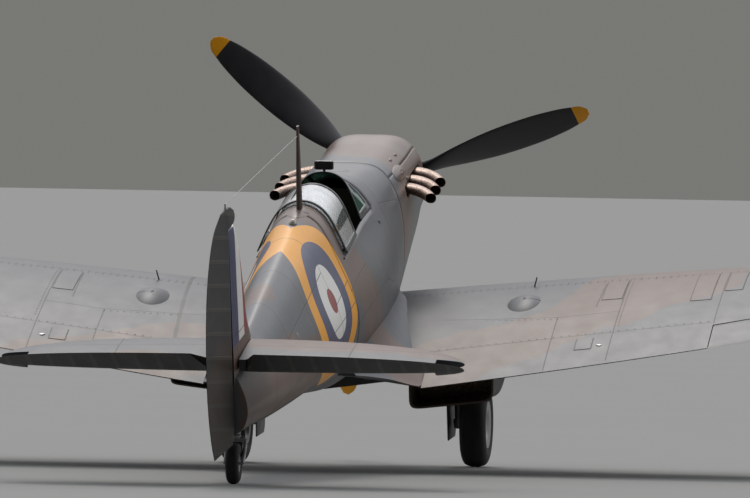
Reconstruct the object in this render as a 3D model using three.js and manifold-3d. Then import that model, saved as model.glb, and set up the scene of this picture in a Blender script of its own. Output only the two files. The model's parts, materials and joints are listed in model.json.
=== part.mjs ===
// A single-seat, low-wing aircraft with an elliptical wing, a tailwheel and a twelve-cylinder engine.
// Lengths are millimetres. The airframe is drawn level, then turned nose-up until its wheels stand level.
// In the airframe +X is starboard, +Y forward along the thrust line and +Z up from that line.
// A station is the distance aft of the spinner's tip, so a station s lies at y = -s.
import * as THREE from "three";
import { mergeVertices } from "three/addons/utils/BufferGeometryUtils.js";
import Module from "manifold-3d";

const wasm = await Module();
wasm.setup();

// Driving dimensions
const SPAN = 11230;
const FIT = 0.4; // gap between pieces that touch
const SKIN = 14; // a panel with its frames
const MOVING_GAP = 7; // clearance round a moving surface

// Body sections, each a row: station, top, then half-width and height at the shoulder,
// the cheek, the widest point and the chine, then bottom
const BODY_ROWS = [
  [630, 352, 190, 305, 300, 180, 342, 10, 255, -255, -355],
  [850, 452, 222, 425, 345, 290, 360, 60, 275, -295, -415],
  [1400, 490, 225, 462, 350, 310, 378, 60, 305, -360, -560],
  [2000, 532, 225, 500, 355, 340, 402, 50, 330, -430, -690],
  [2500, 570, 222, 532, 348, 365, 424, 30, 350, -480, -765],
  [3000, 606, 176, 556, 318, 378, 444, 0, 370, -500, -795],
  [3170, 640, 146, 570, 302, 374, 448, -6, 373, -498, -794],
  [3550, 750, 130, 706, 270, 408, 456, -20, 378, -490, -785],
  [4150, 762, 145, 700, 292, 402, 456, -20, 370, -450, -712],
  [4720, 757, 135, 700, 298, 405, 442, -5, 350, -375, -600],
  [5300, 698, 125, 645, 275, 382, 405, 15, 322, -310, -480],
  [6000, 632, 112, 580, 245, 355, 350, 40, 275, -230, -350],
  [6700, 562, 100, 512, 208, 328, 292, 62, 225, -172, -266],
  [7400, 482, 80, 436, 165, 300, 230, 80, 172, -108, -182],
  [8000, 420, 52, 385, 118, 275, 168, 92, 122, -42, -96],
  [8355, 385, 34, 358, 88, 262, 122, 100, 88, -8, -58],
];
const COWL_FRONT = 630;
const RING_PITCH = 260; // stations of the body's rings
const FIREWALL = 9 * RING_PITCH;
const REAR_BULKHEAD = 19 * RING_PITCH;
const TAIL_END = 32 * RING_PITCH;
const RING_POINTS = 32;

// Cockpit
const SILL_Z = 398;
const DECK_END = 3150;
const ARCH = 3550;
const GLAZING_FRONT = 4130;
const GLAZING_END = 4718;
const HOOD = { front: 4107, rear: 4687, standoff: 25 }; // slid back at rest

// Wing
const WING_AXIS = 2550; // station where both half ellipses meet
const WING_AHEAD = 800;
const WING_BEHIND = 1740;
const WING_Z = -685;
const DIHEDRAL = 6.9;
const ROOT_INCIDENCE = 2.6;
const TIP_INCIDENCE = -0.6;
const THICK_ROOT = 0.137; // share of the chord
const THICK_TIP = 0.075;
const CAMBER = 0.02;

// Tail
const TAIL_HALF_SPAN = 1600;
const TAIL_Z = 420;
const ELEVATOR_HINGE = 8290;
const RUDDER_HINGE = 8390;
const ELEVATOR_REST = 24;
const RUDDER_REST = 3; // trailing edge to port

// Wheels
const TYRE_RADIUS = 307.5;
const TAIL_TYRE_RADIUS = 140;
const MAIN_AXLE = { x: 885, station: 1965, z: -1459 };
const TAIL_AXLE = { station: 8140, z: -295.5 };

// Propeller
const PROP_RADIUS = 1640;
const PROP_STATION = 400;
const BLADE_ANGLES = [20, 140, 260]; // seen from behind, from starboard

// The ground line touches both wheels
const reach = Math.hypot(TAIL_AXLE.station - MAIN_AXLE.station, TAIL_AXLE.z - MAIN_AXLE.z);
const rise = Math.atan2(TAIL_AXLE.z - MAIN_AXLE.z, TAIL_AXLE.station - MAIN_AXLE.station);
const groundAngle = rise + Math.asin((TYRE_RADIUS - TAIL_TYRE_RADIUS) / reach);

const rad = THREE.MathUtils.degToRad;
const lerp = THREE.MathUtils.lerp;
const SIDES = { left: -1, right: 1 };
const UP = new THREE.Vector3(0, 0, 1);

const paint = (color, roughness = 0.5, metalness = 0) =>
  new THREE.MeshStandardMaterial({ color, roughness, metalness });
const camouflage = paint(0x54574f);
const black = paint(0x15161a, 0.35);
const rubber = paint(0x1b1b1c, 0.9);
const metal = paint(0x9a9ea2, 0.35, 0.9);
const burntMetal = paint(0x5b5048, 0.6, 0.8);
const glass = paint(0xcfe0dc, 0.05);
const interior = paint(0x6d8068, 0.6);
const leather = paint(0x5a3a26, 0.7);

// A point of the airframe from its distance to starboard, its station and its height
function at(x, station, z) {
  return new THREE.Vector3(x, -station, z);
}

// Geometry from solids and back
function toSolid(geometry) {
  const plain = geometry.clone();
  plain.deleteAttribute("normal");
  plain.deleteAttribute("uv");
  const merged = mergeVertices(plain, 1e-3);
  return new wasm.Manifold(
    new wasm.Mesh({
      numProp: 3,
      vertProperties: new Float32Array(merged.attributes.position.array),
      triVerts: new Uint32Array(merged.index.array),
    }),
  );
}

function toGeometry(solid) {
  const made = solid.getMesh();
  const geometry = new THREE.BufferGeometry();
  geometry.setAttribute("position", new THREE.BufferAttribute(made.vertProperties, made.numProp));
  geometry.setIndex(new THREE.BufferAttribute(made.triVerts, 1));
  geometry.computeVertexNormals();
  return geometry;
}

function cut(geometry, ...tools) {
  return toGeometry(tools.reduce((body, tool) => body.subtract(toSolid(tool)), toSolid(geometry)));
}

function join(first, ...others) {
  return toGeometry(others.reduce((body, other) => body.add(toSolid(other)), toSolid(first)));
}

function common(a, b) {
  return toGeometry(toSolid(a).intersect(toSolid(b)));
}

// The largest of the bodies that a cut leaves
function largest(geometry) {
  const bodies = toSolid(geometry).decompose();
  bodies.sort((a, b) => b.volume() - a.volume());
  return toGeometry(bodies[0]);
}

// A closed skin through rings of points, with flat triangulated ends
function loft(rings) {
  const count = rings[0].length;
  const index = [];
  for (let r = 0; r + 1 < rings.length; r++)
    for (let i = 0; i < count; i++) {
      const next = (i + 1) % count;
      const [a, b] = [r * count + i, r * count + next];
      index.push(a, b, a + count, b, b + count, a + count);
    }
  const ends = [rings[0], rings[rings.length - 1]];
  ends.forEach((ring, end) => {
    const offset = end * (rings.length - 1) * count;
    for (const [a, b, c] of fillRing(ring))
      index.push(...(end ? [offset + a, offset + b, offset + c] : [offset + a, offset + c, offset + b]));
  });
  const geometry = new THREE.BufferGeometry().setFromPoints(rings.flat());
  geometry.setIndex(volumeOf(rings.flat(), index) < 0 ? index.reverse() : index);
  geometry.computeVertexNormals();
  return geometry;
}

// Triangles that fill a flat ring, turned the way the ring runs
function fillRing(ring) {
  const normal = new THREE.Vector3();
  ring.forEach((p, i) => normal.add(p.clone().cross(ring[(i + 1) % ring.length])));
  const away = normal.clone().normalize();
  const across = new THREE.Vector3(away.z, away.x, away.y).cross(away).normalize();
  const up = away.clone().cross(across);
  const flat = ring.map((p) => new THREE.Vector2(p.dot(across), p.dot(up)));
  return THREE.ShapeUtils.triangulateShape(flat, []);
}

function volumeOf(points, index) {
  let sum = 0;
  for (let i = 0; i < index.length; i += 3) {
    const [a, b, c] = [points[index[i]], points[index[i + 1]], points[index[i + 2]]];
    sum += a.dot(b.clone().cross(c));
  }
  return sum;
}

// A box between two corners given as x, station and z ranges
function box([x0, x1], [s0, s1], [z0, z1]) {
  const shape = new THREE.BoxGeometry(Math.abs(x1 - x0), Math.abs(s1 - s0), Math.abs(z1 - z0));
  return shape.translate((x0 + x1) / 2, -(s0 + s1) / 2, (z0 + z1) / 2);
}

// A round rod, or a tapered one, between two points
function rod(from, to, radiusFrom, radiusTo = radiusFrom, sides = 16) {
  const along = to.clone().sub(from);
  const shape = new THREE.CylinderGeometry(radiusTo, radiusFrom, along.length(), sides);
  const turn = new THREE.Quaternion().setFromUnitVectors(new THREE.Vector3(0, 1, 0), along.normalize());
  return shape.applyQuaternion(turn).translate(...from.clone().add(to).divideScalar(2));
}

// A flat outline given as x, z pairs, made thick along the thrust line between two stations
function slabAlong(outline, fromStation, toStation) {
  const ring = (station) => outline.map(([x, z]) => at(x, station, z));
  return loft([ring(fromStation), ring(toStation)]);
}

// A flat outline given as station, z pairs, made thick from x0 to x1
function slabAcross(outline, x0, x1) {
  const ring = (x) => outline.map(([station, z]) => at(x, station, z));
  return loft([ring(x0), ring(x1)]);
}

// A flat outline given as x, station pairs, made thick from z0 to z1
function slabUp(outline, z0, z1) {
  const ring = (z) => outline.map(([x, station]) => at(x, station, z));
  return loft([ring(z0), ring(z1)]);
}

const airframe = new THREE.Group();

function place(name, geometry, material, parent = airframe) {
  const mesh = new THREE.Mesh(geometry, material);
  mesh.name = name;
  parent.add(mesh);
  return mesh;
}

// Body sections: a closed curve round each station, from the top over to starboard
const bodyColumns = BODY_ROWS[0].length - 1;
const bodyShape = new THREE.CubicInterpolant(
  BODY_ROWS.map((row) => row[0]),
  BODY_ROWS.flatMap((row) => row.slice(1)),
  bodyColumns,
);

function bodyCurve(station) {
  const [top, xa, za, xb, zb, xc, zc, xd, zd, bottom] = bodyShape.evaluate(station);
  const half = [[xa, za], [xb, zb], [xc, zc], [xd, zd]];
  const port = half.map(([x, z]) => [-x, z]).reverse();
  const points = [[0, top], ...half, [0, bottom], ...port].map(([x, z]) => at(x, station, z));
  return new THREE.CatmullRomCurve3(points, true, "centripetal");
}

// A point of that curve, moved out of the surface by a distance
function bodyPoint(curve, turn, out) {
  const t = (turn + 1) % 1;
  const way = curve.getTangent(t);
  return curve.getPoint(t).add(new THREE.Vector3(-way.z, 0, way.x).setLength(out));
}

function bodyRing(station, out = 0) {
  const curve = bodyCurve(station);
  return Array.from({ length: RING_POINTS }, (_, i) => bodyPoint(curve, i / RING_POINTS, out));
}

function stationsBetween(from, to, count) {
  return Array.from({ length: count + 1 }, (_, i) => lerp(from, to, i / count));
}

// Every solid of the body has its rings at the same stations, so that neighbours fit
function ringStations(from, to) {
  const inside = stationsBetween(0, 36, 36).map((n) => n * RING_PITCH);
  return [from, ...inside.filter((station) => station > from + 1 && station < to - 1), to];
}

function bodySolid(from, to, out = 0) {
  return loft(ringStations(from, to).map((station) => bodyRing(station, out)));
}

// The room that the body takes in what is fitted against it
function bodyRoom(gap = FIT) {
  return bodySolid(COWL_FRONT, TAIL_END + 3, gap);
}

// A panel of the body's skin between two turns of the section, its outer face moved out of the surface
function bodyPanel(stations, turnFrom, turnTo, out, thick) {
  const first = Math.floor(turnFrom * RING_POINTS) + 1;
  const count = Math.ceil(turnTo * RING_POINTS) - first;
  const inside = Array.from({ length: count }, (_, k) => (first + k) / RING_POINTS);
  const turns = [turnFrom, ...inside, turnTo];
  return loft(
    stations.map((station) => {
      const curve = bodyCurve(station);
      const outer = turns.map((turn) => bodyPoint(curve, turn, out));
      const inner = turns.map((turn) => bodyPoint(curve, turn, out - thick)).reverse();
      return [...outer, ...inner];
    }),
  );
}

// Half the height of a unit-chord aerofoil at a share of its chord
function foilHalf(thickness, x) {
  const poly = -0.126 * x - 0.3516 * x ** 2 + 0.2843 * x ** 3 - 0.1015 * x ** 4;
  return 5 * thickness * (0.2969 * Math.sqrt(x) + poly);
}

// Aerofoil: unit-chord points over the top from the trailing edge and back below
function foil(thickness, camber, steps = 8) {
  return Array.from({ length: 2 * steps + 1 }, (_, i) => {
    const turn = Math.abs(i - steps) / steps;
    const x = 1 - Math.cos((turn * Math.PI) / 2);
    const spread = foilHalf(thickness, x);
    return [x, bow(camber, x) + (i < steps ? spread : -spread)];
  });
}

// Height of the mean line of a unit-chord aerofoil
function bow(camber, x) {
  const CREST = 0.4;
  const reach = x < CREST ? CREST : 1 - CREST;
  return camber * (1 - ((x - CREST) / reach) ** 2);
}

// Wing
const HALF_SPAN = SPAN / 2;

function wingChord(x) {
  const ellipse = Math.sqrt(Math.max(0, 1 - (x / HALF_SPAN) ** 2));
  return { lead: WING_AXIS - WING_AHEAD * ellipse, trail: WING_AXIS + WING_BEHIND * ellipse };
}

// A point of the wing from x, the share of the chord and the share of the chord in height
function wingPoint(x, along, height, side) {
  const { lead, trail } = wingChord(x);
  const station = lerp(lead, trail, along);
  const twist = Math.tan(rad(lerp(ROOT_INCIDENCE, TIP_INCIDENCE, x / HALF_SPAN)));
  const z = WING_Z + x * Math.tan(rad(DIHEDRAL)) + height * (trail - lead) - (station - WING_AXIS) * twist;
  return at(side * x, station, z);
}

function wingThickness(x) {
  return lerp(THICK_ROOT, THICK_TIP, x / HALF_SPAN);
}

function wingFoil(x) {
  return foil(wingThickness(x), CAMBER);
}

const WING_RIBS = stationsBetween(0, 1, 13).map((t) => HALF_SPAN * 0.9985 * Math.sin((t * Math.PI) / 2));

function wingSolid(side, ribs = 14) {
  const ROOT_X = 2;
  const stations = [ROOT_X, ...WING_RIBS.slice(1, ribs)];
  return loft(stations.map((x) => wingFoil(x).map(([a, h]) => wingPoint(x, a, h, side))));
}

// A straight line over the wing at mid thickness, between two x, station pairs
function wingLine(x, station, side) {
  const { lead, trail } = wingChord(x);
  const share = (station - lead) / (trail - lead);
  const points = wingFoil(x);
  const half = (points.length - 1) / 2;
  const level = (list) => {
    const k = list.findIndex(([a]) => a >= share);
    const [a0, h0] = list[k - 1];
    const [a1, h1] = list[k];
    return lerp(h0, h1, (share - a0) / (a1 - a0));
  };
  const upper = level(points.slice(0, half + 1).reverse());
  const lower = level(points.slice(half));
  const chord = trail - lead;
  return { point: wingPoint(x, share, (upper + lower) / 2, side), radius: ((upper - lower) / 2) * chord };
}

const AILERON = { xIn: 2805, xOut: 5040, hingeIn: 3665, hingeOut: 3075 };
const FLAP = { xIn: 800, xOut: 2770, hingeIn: 3858, hingeOut: 3705, thick: 11, tipShare: 0.965, gap: 5.2 };
const REACH = 3000; // past any edge
const HALF_TURN = [90, 120, 150, 180, 210, 240, 270].map(rad); // round a nose, over its front

function aileronHinge(x) {
  return lerp(AILERON.hingeIn, AILERON.hingeOut, (x - AILERON.xIn) / (AILERON.xOut - AILERON.xIn));
}

// The room that an aileron turns in: all behind its hinge, and a round cove for its nose
function aileronRoom(side) {
  const xs = stationsBetween(AILERON.xIn - MOVING_GAP, AILERON.xOut + MOVING_GAP, 4);
  const line = [xs[0], xs[xs.length - 1]].map((x) => [side * x, aileronHinge(x) - MOVING_GAP]);
  const behind = slabUp([...line, [line[1][0], REACH * 2], [line[0][0], REACH * 2]], -REACH, REACH);
  const cove = hingeNose(xs.map((x) => wingLine(x, aileronHinge(x), side)), MOVING_GAP);
  return [behind, cove];
}

// An aileron's outline across: a half circle on the hinge, then the wing's own surfaces
function aileronSection(x, side) {
  const { lead, trail } = wingChord(x);
  const hinge = (aileronHinge(x) - lead) / (trail - lead);
  const half = (share) => foilHalf(wingThickness(x), share);
  const nose = HALF_TURN.map((turn) => [
    hinge + Math.cos(turn) * half(hinge),
    bow(CAMBER, hinge) + Math.sin(turn) * half(hinge),
  ]);
  const shares = [0.35, 0.7].map((t) => lerp(hinge, 1, t));
  const below = shares.map((share) => [share, bow(CAMBER, share) - half(share)]);
  const above = shares.map((share) => [share, bow(CAMBER, share) + half(share)]).reverse();
  return [...nose, ...below, [1, 0], ...above].map(([share, height]) => wingPoint(x, share, height, side));
}

// Circles round a hinge, each as big as the surface is thick there
function hingeNose(spots, gap) {
  const SEGMENTS = 12;
  return loft(
    spots.map(({ point, radius }) =>
      Array.from({ length: SEGMENTS }, (_, k) => {
        const turn = (k / SEGMENTS) * Math.PI * 2;
        return new THREE.Vector3(0, Math.cos(turn), Math.sin(turn)).multiplyScalar(radius + gap).add(point);
      }),
    ),
  );
}

// A split flap is a plate in the wing's lower skin
function flapPlate(side, gap) {
  const STEPS = 8;
  const xs = stationsBetween(FLAP.xIn - gap, FLAP.xOut + gap, STEPS);
  return loft(
    xs.map((x) => {
      const points = wingFoil(x);
      const chord = wingChord(x).trail - wingChord(x).lead;
      const hingeAt = lerp(FLAP.hingeIn, FLAP.hingeOut, (x - FLAP.xIn) / (FLAP.xOut - FLAP.xIn)) - gap;
      const share = (hingeAt - wingChord(x).lead) / chord;
      const below = points.slice((points.length - 1) / 2).filter(([a]) => a > share);
      const nose = (points.length - 1) / 2;
      const first = nose + points.slice(nose).findIndex(([a]) => a > share);
      const [a0, h0] = points[first - 1];
      const [a1, h1] = points[first];
      const hinge = [share, lerp(h0, h1, (share - a0) / (a1 - a0))];
      const lower = [hinge, ...below.filter(([a]) => a < FLAP.tipShare)];
      const end = below[below.length - 1];
      const last = lower[lower.length - 1];
      const tipHeight = lerp(last[1], end[1], (FLAP.tipShare - last[0]) / (end[0] - last[0]));
      const tail = [FLAP.tipShare + gap / chord, tipHeight];
      const skin = [...lower, tail];
      const lowered = skin.map(([a, h]) => wingPoint(x, a, h - gap / 2 / chord, side));
      const raised = skin.map(([a, h]) => wingPoint(x, a, h + (FLAP.thick + gap) / chord, side)).reverse();
      return [...lowered, ...raised];
    }),
  );
}

const WELL = { x: 1660, station: 2380, radius: 345, roof: 70, legX: 700, legFrom: 1935, legTo: 2330 };

function wingPieces(name, side) {
  const rooms = [bodyRoom(4 * FIT), rootNotch(0), ...aileronRoom(side), flapPlate(side, FLAP.gap)];
  const panel = cut(wingSolid(side), ...rooms, wheelWell(side), intakeShape(-INTAKE_ROOM));
  place("wing_" + name, join(largest(panel), wingBlister(side), indicatorRod(side)), camouflage);
  const AILERON_RIBS = 5;
  const ribs = stationsBetween(AILERON.xIn, AILERON.xOut, AILERON_RIBS);
  place("aileron_" + name, loft(ribs.map((x) => aileronSection(x, side))), camouflage);
  place("flap_" + name, flapPlate(side, 0), camouflage);
}

// At the flap's hinge the wing stops short of the body, and from there the root fillet is the trailing edge
function rootNotch(wider) {
  const [x, station] = [780, 3800];
  return box([-x - wider, x + wider], [station - wider, REACH * 2], [-REACH, REACH]);
}

// The well takes the wheel and its leg, open below
function wheelWell(side) {
  const roof = WING_Z + WELL.x * Math.tan(rad(DIHEDRAL)) + WELL.roof;
  const [foot, head] = [-REACH, roof].map((z) => at(side * WELL.x, WELL.station, z));
  const round = rod(foot, head, WELL.radius, WELL.radius, 24);
  const legRoof = WING_Z + WELL.legX * Math.tan(rad(DIHEDRAL)) + WELL.roof / 2;
  const trough = box(
    [side * (WELL.legX - 110), side * WELL.x],
    [WELL.legFrom, WELL.legTo],
    [-REACH, legRoof],
  );
  return join(round, trough);
}

const BLISTER = { x: 1350, station: 2850, width: 128, length: 215, height: 62, bedded: 18 };
const INDICATOR = { x: 1370, station: 2400, lean: 24, tall: 88, bedded: 20, radius: 6, tip: 5 };

function wingBlister(side) {
  const top = wingLine(BLISTER.x, BLISTER.station, side);
  const shape = new THREE.SphereGeometry(1, 16, 10).scale(BLISTER.width, BLISTER.length, BLISTER.height);
  return shape.translate(...top.point.clone().add(new THREE.Vector3(0, 0, top.radius - BLISTER.bedded)));
}

// A rod over each wing shows that its leg is down
function indicatorRod(side) {
  const foot = wingLine(INDICATOR.x, INDICATOR.station, side);
  const base = foot.point.clone().add(new THREE.Vector3(0, 0, foot.radius - INDICATOR.bedded));
  const head = base.clone().add(new THREE.Vector3(side * INDICATOR.lean, 0, INDICATOR.tall));
  return rod(base, head, INDICATOR.radius, INDICATOR.tip, 8);
}

// Root fillet, a concave fairing between body and wing that runs out behind the trailing edge
// station, height on the body, distance out on the wing, height there, edge depth, underside at the body
const FILLET_ROWS = [
  [1950, -480, 500, -556, 14, -600],
  [2400, -350, 575, -484, 14, -498],
  [3000, -300, 655, -505, 14, -519],
  [3600, -270, 725, -560, 14, -574],
  [3795, -265, 762, -586, 88, -715],
  [3940, -260, 772, -604, 66, -668],
  [4100, -255, 775, -624, 40, -616],
  [4280, -258, 768, -638, 8, -578],
  [4450, -262, 610, -558, 10, -538],
  [4700, -262, 490, -478, 10, -478],
  [5000, -255, 415, -400, 10, -400],
];
const FILLET_CORNER = { across: 0.26, down: 0.78 }; // shares of the way from body to wing

function rootFillet(side) {
  const DEEP = 120;
  const STEPS = 6;
  const rings = FILLET_ROWS.map(([station, bodyZ, wingX, wingZ, edge, underZ]) => {
    const bodyX = halfWidthAt(station, bodyZ) - 10;
    const from = at(side * bodyX, station, bodyZ);
    const to = at(side * wingX, station, wingZ);
    const { across, down } = FILLET_CORNER;
    const corner = at(side * lerp(bodyX, wingX, across), station, lerp(bodyZ, wingZ, down));
    const curve = new THREE.QuadraticBezierCurve3(from, corner, to).getPoints(STEPS);
    const below = at(side * wingX, station, wingZ - edge);
    const under = at(side * (bodyX - DEEP), station, underZ);
    return [...curve, below, under, at(side * (bodyX - DEEP), station, bodyZ)];
  });
  return loft(rings);
}

// Half-width of the body at a station and height
function halfWidthAt(station, z) {
  const curve = bodyCurve(station);
  const steps = 60;
  for (let i = 1; i <= steps; i++) {
    const a = curve.getPoint(((i - 1) / steps) * 0.5);
    const b = curve.getPoint((i / steps) * 0.5);
    if (b.z <= z) return lerp(a.x, b.x, (a.z - z) / (a.z - b.z));
  }
  return 0;
}

function filletPieces(name, side) {
  const above = cut(wingSolid(side, 7), rootNotch(-FIT)).translate(0, 0, FIT);
  const below = cut(wingSolid(side, 7), rootNotch(-FIT)).translate(0, 0, -FIT);
  const clear = cut(rootFillet(side), bodyRoom(4 * FIT), above, below);
  place("fillet_" + name, largest(cut(clear, intakeShape(-INTAKE_ROOM), wheelWell(side))), camouflage);
}

// Radiator and oil cooler ducts under the wing, open at both ends
const RADIATOR = { x: 935, width: 610, from: 2900, to: 3790, depth: 330, rear: 0.8, wall: 14, core: 110 };
const OIL_COOLER = { x: 935, width: 330, from: 2980, to: 3720, depth: 260, rear: 0.7, wall: 12, core: 110 };

const DUCT_DATUM = -740; // height of the ducts' datum at the centreline, rising with the wing

// One section of a duct: flat under the wing, with rounded lower corners
function ductRing(side, size, station, inset) {
  const { x, width, from, to, depth, rear } = size;
  const MOUTH = 0.74; // shares of the depth at the mouth and the deepest place
  const BELLY = 0.26;
  const share = THREE.MathUtils.clamp((station - from) / (to - from), 0, 1);
  const belly = BELLY * Math.sin(Math.PI * Math.min(1, share * 1.25));
  const drop = depth * (MOUTH + belly + (rear - MOUTH) * share ** 2) - inset;
  const half = width / 2 - inset;
  const datum = (px) => DUCT_DATUM + Math.abs(px) * Math.tan(rad(DIHEDRAL));
  const CORNERS = 8;
  const ROUNDNESS = 0.2;
  const ring = [];
  for (let k = 0; k <= CORNERS; k++) {
    const turn = (k / CORNERS) * Math.PI;
    const wide = Math.sign(Math.cos(turn)) * Math.abs(Math.cos(turn)) ** ROUNDNESS;
    const px = side * x + half * wide;
    ring.push(at(px, station, datum(px) - drop * Math.abs(Math.sin(turn)) ** ROUNDNESS));
  }
  const ABOVE = 120;
  const roof = [side * x - half, side * x + half].map((px) => at(px, station, datum(px) + ABOVE));
  return [...ring, ...roof];
}

function duct(side, size, name) {
  const { from, to, wall, core } = size;
  const shell = (inset, past) => {
    const stations = [from - past, ...stationsBetween(from, to, 8), to + past];
    return loft(stations.map((s) => ductRing(side, size, s, inset)));
  };
  const wingRoom = wingSolid(side, 7).translate(0, 0, -FIT);
  const CORE_SHARE = 0.42;
  const middle = lerp(from, to, CORE_SHARE);
  place(name + "_housing", largest(cut(shell(0, 1), shell(wall, 20), wingRoom)), camouflage);
  const slice = box([-REACH, REACH], [middle, middle + core], [-REACH, REACH]);
  const block = common(shell(wall + FIT, 20), slice);
  place(name + "_core", largest(cut(block, wingRoom)), metal);
}

// Engine cowling in four panels round a shell
const COWL_SPLITS = { top: 5 / RING_POINTS, bottom: 12 / RING_POINTS };
const EXHAUST = { front: 1160, rear: 1985, z: 252, height: 84, flange: 290 };

function cowling() {
  const END_GAP = 2;
  const stations = ringStations(COWL_FRONT, FIREWALL - END_GAP);
  const { top, bottom } = COWL_SPLITS;
  const joint = 0.0004; // half the gap between two panels, as a share of the girth
  place("cowling_top", bodyPanel(stations, -top + joint, top - joint, 0, SKIN), camouflage);
  const across = [200, 600];
  const along = [EXHAUST.front - 60, EXHAUST.rear - 60];
  const tall = [-0.5, 0.5].map((share) => EXHAUST.z + share * EXHAUST.height);
  const slot = (side) => box(across.map((x) => side * x), along, tall);
  for (const [name, side] of Object.entries(SIDES)) {
    const [from, to] = side > 0 ? [top + joint, bottom - joint] : [-bottom + joint, -top - joint];
    place("cowling_" + name, cut(bodyPanel(stations, from, to, 0, SKIN), slot(side)), camouflage);
  }
  const under = bodyPanel(stations, bottom + joint, 1 - bottom - joint, 0, SKIN);
  place("cowling_bottom", under, camouflage);
  intake();
  engine();
  exhausts();
}

// The air intake is a scoop under the cowling, its mouth forward
// station, depth below the belly
const INTAKE_ROWS = [
  [1440, 70],
  [1560, 128],
  [1820, 142],
  [2080, 120],
  [2340, 60],
];
const INTAKE_HALF = 115;
const INTAKE_ROOM = 7; // that the wing and its fillet leave round it

function intakeShape(inset) {
  const STEPS = 8;
  const past = inset > 0 ? 20 : -inset; // both ends run past what they cut
  const last = INTAKE_ROWS.length - 1;
  return loft(
    INTAKE_ROWS.map(([row, depth], i) => {
      const station = row - past * (i === 0) + past * (i === last);
      const floor = bodyShape.evaluate(row)[bodyColumns - 1];
      const half = INTAKE_HALF - inset;
      const arc = stationsBetween(0, Math.PI, STEPS).map((turn) =>
        at(Math.cos(turn) * half, station, floor - (depth - inset) * Math.sin(turn)),
      );
      const roof = [-half, half].map((x) => at(x, station, floor + 70));
      return [...arc, ...roof];
    }),
  );
}

function intake() {
  const WALL = 9;
  const passage = common(intakeShape(WALL), box([-REACH, REACH], [0, 2100], [-REACH, REACH]));
  const scoop = cut(intakeShape(0), passage, bodyRoom());
  place("air_intake", largest(scoop), camouflage);
}

// The engine is closed in: one block with its reduction gear, on the firewall
// half-width and height of the block's outline, from below
const BLOCK_ROWS = [
  [120, -330],
  [215, -60],
  [290, 160],
  [290, 300],
  [180, 380],
];
const BLOCK_FRONT = 840;
const GEAR_CASE = { front: 636, radius: 110, rear: 150 };

function engine() {
  const starboard = BLOCK_ROWS.map(([x, z]) => [x, z]);
  const port = BLOCK_ROWS.map(([x, z]) => [-x, z]).reverse();
  const block = slabAlong([...starboard, ...port], BLOCK_FRONT, FIREWALL - FIT);
  const { front, radius, rear } = GEAR_CASE;
  const gear = rod(at(0, front, 0), at(0, BLOCK_FRONT + 10, 0), radius, rear, 24);
  place("engine_block", join(block, gear), metal);
}

// Exhaust stubs leave the block in three ejectors a side, on one flange
const STUBS = 3;
const STUB_WALL = 4;
const STUB_TURN = { from: 300, to: 560, square: 86, aft: 8 };
// distance out, distance aft, drop, thickness, height
const STUB_ROWS = [
  [300, 0, 0, 140, 58],
  [372, 15, -2, 150, 64],
  [440, 70, -6, 130, 70],
  [515, 165, -12, 98, 74],
  [572, 285, -18, 80, 74],
];

function exhausts() {
  const pitch = (EXHAUST.rear - EXHAUST.front) / STUBS;
  const starts = stationsBetween(0, STUBS - 1, STUBS - 1).map((n) => EXHAUST.front + 20 + pitch * n);
  for (const [name, side] of Object.entries(SIDES)) {
    const across = [side * (EXHAUST.flange + FIT), side * (EXHAUST.flange + 15)];
    const flange = box(across, [EXHAUST.front - 60, EXHAUST.rear - 60], [EXHAUST.z - 30, EXHAUST.z + 30]);
    place("exhaust_" + name, join(flange, ...starts.map((start) => exhaustStub(side, start))), burntMetal);
  }
}

function exhaustStub(side, start) {
  const outer = STUB_ROWS.map((row) => stubRing(side, start, row, 0));
  const past = (k) => [k * 3, k * 10]; // the bore runs out through the mouth
  const bore = STUB_ROWS.slice(2).map(([x, aft, ...row], k) =>
    stubRing(side, start, [x + past(k)[0], aft + past(k)[1], ...row], STUB_WALL),
  );
  return cut(loft(outer), loft(bore));
}

// A stub leaves square to the block and bends until it points aft
function stubRing(side, start, [x, aft, drop, thick, tall], shrink) {
  const SEGMENTS = 8;
  const { from, to, square, aft: last } = STUB_TURN;
  const turned = side * rad(lerp(square, last, THREE.MathUtils.smoothstep(x, from, to)));
  const centre = at(side * x, start + aft, EXHAUST.z + drop);
  return Array.from({ length: SEGMENTS }, (_, k) => {
    const turn = (k / SEGMENTS) * Math.PI * 2;
    const wide = Math.cos(turn) * (thick / 2 - shrink);
    const high = Math.sin(turn) * (tall / 2 - shrink);
    return new THREE.Vector3(wide, 0, high).applyAxisAngle(UP, turned).add(centre);
  });
}

// Cockpit: a hollow body with the opening, the door and the glazing
const DOOR = { from: 3575, to: 4060, low: 55 };

function centreFuselage() {
  const outer = bodySolid(FIREWALL, REAR_BULKHEAD);
  const inner = bodySolid(FIREWALL + SKIN, REAR_BULKHEAD - SKIN, -SKIN);
  const opening = box([-600, 600], [DECK_END, GLAZING_END + 2], [SILL_Z, 1200]);
  const shell = cut(outer, inner, opening);
  const doorway = box([-700, -100], [DOOR.from, DOOR.to], [DOOR.low, SILL_Z + 50]);
  const room = box([-700, -100], [DOOR.from - 6, DOOR.to + 6], [DOOR.low - 6, SILL_Z + 50]);
  place("fuselage_centre", largest(cut(shell, room)), camouflage);
  place("cockpit_door", largest(common(shell, doorway)), camouflage);
}

function rearFuselage() {
  place("fuselage_rear", bodySolid(REAR_BULKHEAD + FIT, TAIL_END), camouflage);
}

// Glazing: a frame with its windows cut, and one sheet bedded inside it
const CROWN = 0.18; // half the girth that glazing covers
const FRAME = 10;
const SEAL = 3;
const SHEET = 5;

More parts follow.
